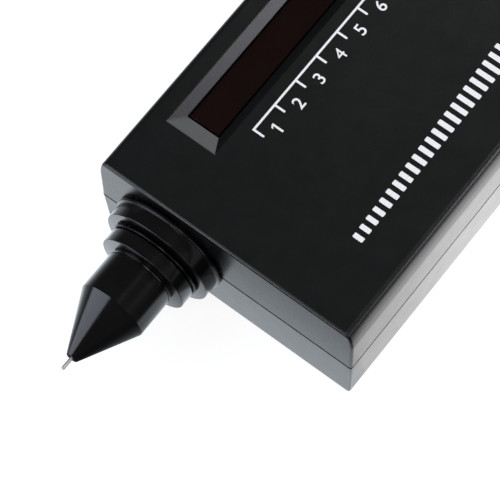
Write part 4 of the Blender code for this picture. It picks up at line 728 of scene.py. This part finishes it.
link_piece("probe_bore_plug", clean_copy("probe_plug"), probe_black, "probe_black", "case",
           "probe_plug")


# Probe pin and what moves with it
# A fine hard metal point on a thicker shank, in a brass slider that holds the heater and the
# sensor bead. A coil spring pushes the slider out and shortens as the pin is pressed in.

PIN_RADIUS = 0.00035
PIN_POINT_LENGTH = 0.00012
PIN_POINT_RADIUS = 0.00024
PIN_NECK_LENGTH = 0.0005
PIN_STEPS = 32
PIN_SHADES = ((0.72, 0.7, 0.68), (0.85, 0.83, 0.8))
PIN_ROUGHNESS = 0.35
BRASS_SHADES = ((0.62, 0.42, 0.15), (0.75, 0.53, 0.22))
BRASS_ROUGHNESS = 0.28
TURNED_MARK_STRETCH = (1, 30, 30)
CERAMIC_SHADES = ((0.7, 0.68, 0.62), (0.8, 0.78, 0.72))
CERAMIC_ROUGHNESS = 0.5
CERAMIC_GRAIN_SIZE = 0.0002
CERAMIC_GRAIN_DEPTH = 0.000004

pin_metal = turned_metal("pin_metal", *PIN_SHADES, PIN_ROUGHNESS, TURNED_MARK_STRETCH)
brass = turned_metal("brass", *BRASS_SHADES, BRASS_ROUGHNESS, TURNED_MARK_STRETCH)
pin_low, pin_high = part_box("probe_pin")
shank_radius = (pin_high.z - pin_low.z) / 2
shank_x = shank_bore_x + PIN_NECK_LENGTH
pin_form = turned([
    (pin_low.x, 0), (pin_low.x, PIN_POINT_RADIUS), (pin_low.x + PIN_POINT_LENGTH, PIN_RADIUS),
    (shank_x, PIN_RADIUS), (shank_x, shank_radius), (pin_high.x, shank_radius),
    (pin_high.x, 0)], steps=PIN_STEPS, closed=False)
link_piece("fine_metal_pin", pin_form, pin_metal, "pin_metal", "probe", "probe_pin")

ceramic_white = moulded_plastic("ceramic_white", *CERAMIC_SHADES, CERAMIC_ROUGHNESS,
                                CERAMIC_GRAIN_SIZE, CERAMIC_GRAIN_DEPTH)
link_piece("brass_slider", clean_copy("probe_carrier"), brass, "brass", "probe",
           "probe_carrier")
for node in ("heat_sensor", "heater"):
    link_piece(f"ceramic_{node}", clean_copy(node), ceramic_white, "ceramic_white", "probe", node)
coil_spring = link_piece("steel_coil_spring", clean_copy("probe_spring"), steel, "steel", "case",
                         "probe_spring")
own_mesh(coil_spring)


# Setting wheel
# A notched wheel in the case's plastic, whose rim stands out of the tail, on the steel shaft of
# the switched potentiometer.

link_piece("notched_thumb_wheel", clean_copy("thumb_wheel"), case_black, "case_black", "wheel",
           "thumb_wheel")
for node in ("dial_shaft", "wheel_screw"):
    link_piece(f"steel_{node}", clean_copy(node), steel, "steel", "wheel", node)


# Battery, snap and leads
# A nine-volt block in a plain two-tone jacket, the snap strip on its two terminals, and thin
# stranded leads in red and black insulation.

TERMINAL_LENGTH = 0.0019
JACKET_BAND = 0.011
JACKET_BAND_BLUR = 0.004
JACKET_SILVER = (0.5, 0.51, 0.52)
JACKET_BLACK = (0.045, 0.05, 0.06)
JACKET_ROUGHNESS = (0.26, 0.4)
JACKET_RUB_SIZE = 0.002
JACKET_RUB_STRETCH = (5, 1, 1)
JACKET_RUB_DEPTH = 0.000006
WIRE_SHADES = {
    "red": ((0.45, 0.015, 0.015), (0.56, 0.025, 0.02)),
    "black": ((0.011, 0.011, 0.011), (0.017, 0.017, 0.017)),
}
WIRE_ROUGHNESS = 0.42
WIRE_GRAIN_SIZE = 0.0004
WIRE_GRAIN_DEPTH = 0.000003

battery_low, battery_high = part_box("battery")
jacket_front_x = battery_low.x + TERMINAL_LENGTH
battery_jacket, jacket_shader = new_finish("battery_jacket")
jacket_x = add_node(battery_jacket, "SeparateXYZ", Vector=add_node(
    battery_jacket, "TexCoord").outputs["Object"]).outputs["X"]
jacket_span = add_node(battery_jacket, "MapRange", Value=jacket_x, From_Min=jacket_front_x,
                       From_Max=battery_high.x).outputs["Result"]
band_share = JACKET_BAND / (battery_high.x - jacket_front_x)
jacket_colour = shades(battery_jacket, jacket_span, JACKET_SILVER, JACKET_BLACK, band_share,
                       band_share + JACKET_BAND_BLUR)
feed(battery_jacket, jacket_colour, jacket_shader.inputs["Base Color"])
jacket_rub = patches(battery_jacket, JACKET_RUB_SIZE, stretch=JACKET_RUB_STRETCH, detail=3)
feed(battery_jacket, spread(battery_jacket, jacket_rub, *JACKET_ROUGHNESS),
     jacket_shader.inputs["Roughness"])
relief(battery_jacket, jacket_shader, (jacket_rub, JACKET_RUB_DEPTH))
battery_form = clean_copy("battery")
for face in battery_form.faces:
    face.material_index = int(face.calc_center_median().x < jacket_front_x + LEVEL_TOLERANCE)
battery_piece = link_piece("nine_volt_block", battery_form, battery_jacket, "battery_jacket",
                           "case", "battery")
battery_piece.data.materials.append(steel)
link_piece("snap_strip", clean_copy("battery_snap"), holder_black, "holder_black", "case",
           "battery_snap")

wire_finishes = {colour: moulded_plastic(f"wire_{colour}", *both_shades, WIRE_ROUGHNESS,
                                         WIRE_GRAIN_SIZE, WIRE_GRAIN_DEPTH)
                 for colour, both_shades in WIRE_SHADES.items()}
for lead in ("probe_lead", "battery_lead"):
    for colour, finish in wire_finishes.items():
        node = f"{lead}_{colour}"
        link_piece(f"insulated_{node}", clean_copy(node), finish, f"wire_{colour}", "case", node)


# Floor
# A studio floor, plain white to the eye. Glossy faces mirror painted light on it instead, for the
# most part above white: a painted pool of light close round the tester, a patch, a strip along its
# right side and a glow past its left side, and dim beyond. It has no back, so the underside shows
# from below.

FLOOR_SIZE = 12
FLOOR_GAP = 0.00005
FLOOR_PAINT = 0.36
FLOOR_GLOW_SEEN = 0.84

# The painted pool of light close round the case: its reach, and its share of the level on the way
# out
POOL_REACH = 0.036
POOL_LEVEL = 1.35
POOL_TINT = (0.9, 0.98, 1.05, 1)
POOL_SHARES = ((0.14, 0.92), (0.28, 0.66), (0.45, 0.32), (0.75, 0.06))
POOL_END_SHARE = 0.04

# The round patch of painted light off the front left corner
PATCH_PLACE = (-0.07, 0.036)
PATCH_RADIUS = 0.012
PATCH_SOFTNESS = 0.014
PATCH_LEVEL = 1.5

# The strip of painted light along the right side, brighter towards the tail
STRIP_START_X = -0.0535
STRIP_START_SOFTNESS = 0.004
STRIP_START_SLANT = 0.31
STRIP_RISE_LENGTH = 0.04
STRIP_NEAR_LEVEL = 1.52
STRIP_FAR_LEVEL = 2.12
STRIP_SIDE_SOFTNESS = 0.005
STRIP_REACH = 0.16
STRIP_END_SOFTNESS = 0.06

# The painted glow past the left side, fading with distance
GLOW_START_Y = 0.02
GLOW_RISE_LENGTH = 0.016
GLOW_END_Y = 0.17
GLOW_NEAR_LEVEL = 0.85
GLOW_FAR_LEVEL = 0.2

floor_form = bmesh.new()
bmesh.ops.create_grid(floor_form, x_segments=1, y_segments=1, size=FLOOR_SIZE / 2)
bmesh.ops.translate(floor_form, verts=floor_form.verts, vec=(0, 0, -FLOOR_GAP))
floor_mesh = bpy.data.meshes.new("floor")
floor_form.to_mesh(floor_mesh)
floor_form.free()
floor = bpy.data.objects.new("floor", floor_mesh)
bpy.context.scene.collection.objects.link(floor)

floor_white = bpy.data.materials.new("floor_white")
floor_white.use_nodes = True
floor_white.cycles.emission_sampling = "NONE"
floor_white.node_tree.nodes.remove(floor_white.node_tree.nodes["Principled BSDF"])
floor_mesh.materials.append(floor_white)


def sum_up(operation, *values):
    """One step of arithmetic on two values."""
    step = add_node(floor_white, "Math", operation=operation)
    for socket, value in zip(step.inputs, values):
        if isinstance(value, bpy.types.NodeSocket):
            feed(floor_white, value, socket)
        else:
            socket.default_value = value
    return step.outputs["Value"]


def between(value, low, high, first, last):
    """A value that eases from first to last as another goes from low to high."""
    return add_node(floor_white, "MapRange", interpolation_type="SMOOTHSTEP", Value=value,
                    From_Min=low, From_Max=high, To_Min=first, To_Max=last).outputs["Result"]


floor_place = add_node(floor_white, "SeparateXYZ", Vector=add_node(
    floor_white, "TexCoord").outputs["Object"])
floor_x, floor_y = floor_place.outputs["X"], floor_place.outputs["Y"]
case_low, case_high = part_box("lower_shell")
outside = []
for axis, low, high in ((floor_x, case_low.x, case_high.x), (floor_y, case_low.y, case_high.y)):
    from_middle = sum_up("ABSOLUTE", sum_up("SUBTRACT", axis, (low + high) / 2))
    outside.append(sum_up("MAXIMUM", sum_up("SUBTRACT", from_middle, (high - low) / 2), 0))
from_case = sum_up("SQRT", sum_up("ADD", *(sum_up("MULTIPLY", way, way) for way in outside)))
pool = add_node(floor_white, "ValToRGB", Fac=sum_up("DIVIDE", from_case, POOL_REACH))
pool.color_ramp.interpolation = "B_SPLINE"
pool.color_ramp.elements[0].color = (1, 1, 1, 1)
pool.color_ramp.elements[1].position = 1
pool.color_ramp.elements[1].color = (POOL_END_SHARE, POOL_END_SHARE, POOL_END_SHARE, 1)
for position, share in POOL_SHARES:
    pool.color_ramp.elements.new(position).color = (share, share, share, 1)
strip_along = between(floor_x, STRIP_START_X, STRIP_START_X + STRIP_RISE_LENGTH,
                      STRIP_NEAR_LEVEL, STRIP_FAR_LEVEL)
from_side = sum_up("SUBTRACT", floor_y, case_low.y)
slanted_x = sum_up("ADD", floor_x, sum_up("MULTIPLY", from_side, STRIP_START_SLANT))
strip_begins = between(slanted_x, STRIP_START_X - STRIP_START_SOFTNESS, STRIP_START_X, 0, 1)
strip_ends = between(floor_y, case_low.y - STRIP_REACH - STRIP_END_SOFTNESS,
                     case_low.y - STRIP_REACH, 0, 1)
strip_side = between(from_side, 0, STRIP_SIDE_SOFTNESS, 1, 0)
lit_strip = sum_up("MULTIPLY", sum_up("MULTIPLY", strip_along, strip_begins),
                   sum_up("MULTIPLY", strip_ends, strip_side))
lit_pool = sum_up("MULTIPLY", pool.outputs["Color"], POOL_LEVEL)
from_patch = sum_up("SQRT", sum_up("ADD", *(
    sum_up("POWER", sum_up("SUBTRACT", axis, middle), 2)
    for axis, middle in zip((floor_x, floor_y), PATCH_PLACE))))
lit_patch = between(from_patch, PATCH_RADIUS, PATCH_RADIUS + PATCH_SOFTNESS, PATCH_LEVEL, 0)
glow_begins = between(floor_y, GLOW_START_Y, GLOW_START_Y + GLOW_RISE_LENGTH, 0, 1)
glow_fades = between(floor_y, GLOW_START_Y, GLOW_END_Y, GLOW_NEAR_LEVEL, GLOW_FAR_LEVEL)
lit_glow = sum_up("MULTIPLY", glow_begins, glow_fades)
# The painted light that only glossy faces see on the floor: the brightest of pool, patch, strip
# and glow
brightest = sum_up("MAXIMUM", sum_up("MAXIMUM", lit_strip, lit_glow),
                   sum_up("MAXIMUM", lit_pool, lit_patch))
strip_share = sum_up("MINIMUM", lit_strip, 1)
mirrored_tint = add_node(floor_white, "MixRGB", Fac=strip_share, Color1=POOL_TINT,
                         Color2=(1, 1, 1, 1)).outputs["Color"]
mirrored = add_node(floor_white, "Emission", Color=mirrored_tint, Strength=brightest)

paint = add_node(floor_white, "BsdfDiffuse", Color=(FLOOR_PAINT, FLOOR_PAINT, FLOOR_PAINT, 1))
rays = add_node(floor_white, "LightPath")
looked_at = sum_up("MAXIMUM", rays.outputs["Is Camera Ray"], rays.outputs["Is Transmission Ray"])
seen = add_node(floor_white, "Emission",
                Strength=sum_up("MULTIPLY", looked_at, FLOOR_GLOW_SEEN))
painted = add_node(floor_white, "AddShader")
feed(floor_white, paint.outputs["BSDF"], painted.inputs[0])
feed(floor_white, seen.outputs["Emission"], painted.inputs[1])
either = add_node(floor_white, "MixShader", Fac=rays.outputs["Is Glossy Ray"])
feed(floor_white, painted.outputs["Shader"], either.inputs[1])
feed(floor_white, mirrored.outputs["Emission"], either.inputs[2])
back = add_node(floor_white, "NewGeometry").outputs["Backfacing"]
one_sided = add_node(floor_white, "MixShader", Fac=back)
feed(floor_white, either.outputs["Shader"], one_sided.inputs[1])
feed(floor_white, add_node(floor_white, "BsdfTransparent").outputs["BSDF"], one_sided.inputs[2])
feed(floor_white, one_sided.outputs["Shader"],
     floor_white.node_tree.nodes["Material Output"].inputs["Surface"])


# Studio light
# Nine soft panels round the tester, for its glossy faces and edges to mirror, in a room that is
# white to the eye and dim otherwise. Each has its direction as azimuth from +X towards +Y and
# elevation in degrees, its distance, width, height, radiance and tint.

PANELS = {
    "left_panel": (134, 27, 1.0, 0.76, 1.0, 2.6, (0.87, 0.93, 1.1)),
    "right_panel": (-39, 18, 1.0, 1.1, 0.66, 1.8, (0.97, 0.97, 1.06)),
    "tail_panel": (20, 22, 1.0, 0.85, 0.63, 2.0, (0.96, 1, 1.05)),
    "high_tail_panel": (24, 47, 1.0, 0.5, 0.24, 2.2, (1, 1, 1)),
    "bevel_panel": (-58, 28, 1.0, 0.3, 0.3, 4.5, (0.97, 0.97, 1.06)),
    "over_tail_panel": (-26, 51, 0.65, 0.22, 0.22, 4.0, (1, 1, 1)),
    "edge_panel": (166, 14, 1.0, 0.4, 0.14, 7.0, (0.97, 0.98, 1.05)),
    "fill_panel": (-125, 72, 1.0, 0.5, 0.36, 2.6, (1, 1, 1)),
    "side_fill_panel": (-103, 32, 1.0, 0.28, 0.8, 2.0, (0.95, 0.98, 1.06)),
}
WORLD_DIM = 0.08

for name, (azimuth, elevation, distance, width, height, radiance, tint) in PANELS.items():
    light = bpy.data.lights.new(name, "AREA")
    light.shape = "RECTANGLE"
    light.size = width
    light.size_y = height
    light.energy = radiance * math.pi * width * height
    light.color = tint
    lamp = bpy.data.objects.new(name, light)
    bpy.context.scene.collection.objects.link(lamp)
    across = math.cos(math.radians(elevation))
    away = Vector((across * math.cos(math.radians(azimuth)),
                   across * math.sin(math.radians(azimuth)), math.sin(math.radians(elevation))))
    lamp.location = away * distance
    lamp.rotation_euler = away.to_track_quat("Z", "Y").to_euler()
    lamp.visible_camera = False

world = bpy.data.worlds.new("studio")
bpy.context.scene.world = world
world.use_nodes = True
sky = world.node_tree.nodes["Background"]
sky.inputs["Color"].default_value = (1, 1, 1, 1)
sky_rays = world.node_tree.nodes.new("ShaderNodeLightPath")
sky_level = world.node_tree.nodes.new("ShaderNodeMapRange")
sky_level.inputs["To Min"].default_value = WORLD_DIM
sky_level.inputs["To Max"].default_value = 1
sky_seen = world.node_tree.nodes.new("ShaderNodeMath")
sky_seen.operation = "MAXIMUM"
world.node_tree.links.new(sky_rays.outputs["Is Camera Ray"], sky_seen.inputs[0])
world.node_tree.links.new(sky_rays.outputs["Is Transmission Ray"], sky_seen.inputs[1])
world.node_tree.links.new(sky_seen.outputs["Value"], sky_level.inputs["Value"])
world.node_tree.links.new(sky_level.outputs["Result"], sky.inputs["Strength"])


# Camera
# A long lens high over the probe end, looking down the tester and turned a little, which is how
# the photograph was taken.

CAMERA_PLACE = (-0.1955255, -0.13062, 0.47444)
CAMERA_AZIMUTH = math.radians(-47.66)
CAMERA_ELEVATION = math.radians(67.16)
CAMERA_ROLL = math.radians(-4.87)
CAMERA_LENS_MM = 192.66
SENSOR_MM = 36

scene = bpy.context.scene
lens = bpy.data.cameras.new("camera")
lens.lens = CAMERA_LENS_MM
lens.sensor_width = SENSOR_MM
camera = bpy.data.objects.new("camera", lens)
scene.collection.objects.link(camera)
backward = Vector((math.sin(CAMERA_AZIMUTH) * math.cos(CAMERA_ELEVATION),
                   -math.cos(CAMERA_AZIMUTH) * math.cos(CAMERA_ELEVATION),
                   math.sin(CAMERA_ELEVATION)))
camera.rotation_mode = "QUATERNION"
camera.rotation_quaternion = ((-backward).to_track_quat("-Z", "Y")
                              @ Quaternion((0, 0, 1), CAMERA_ROLL))
camera.location = CAMERA_PLACE
scene.camera = camera
scene.view_settings.view_transform = "Standard"
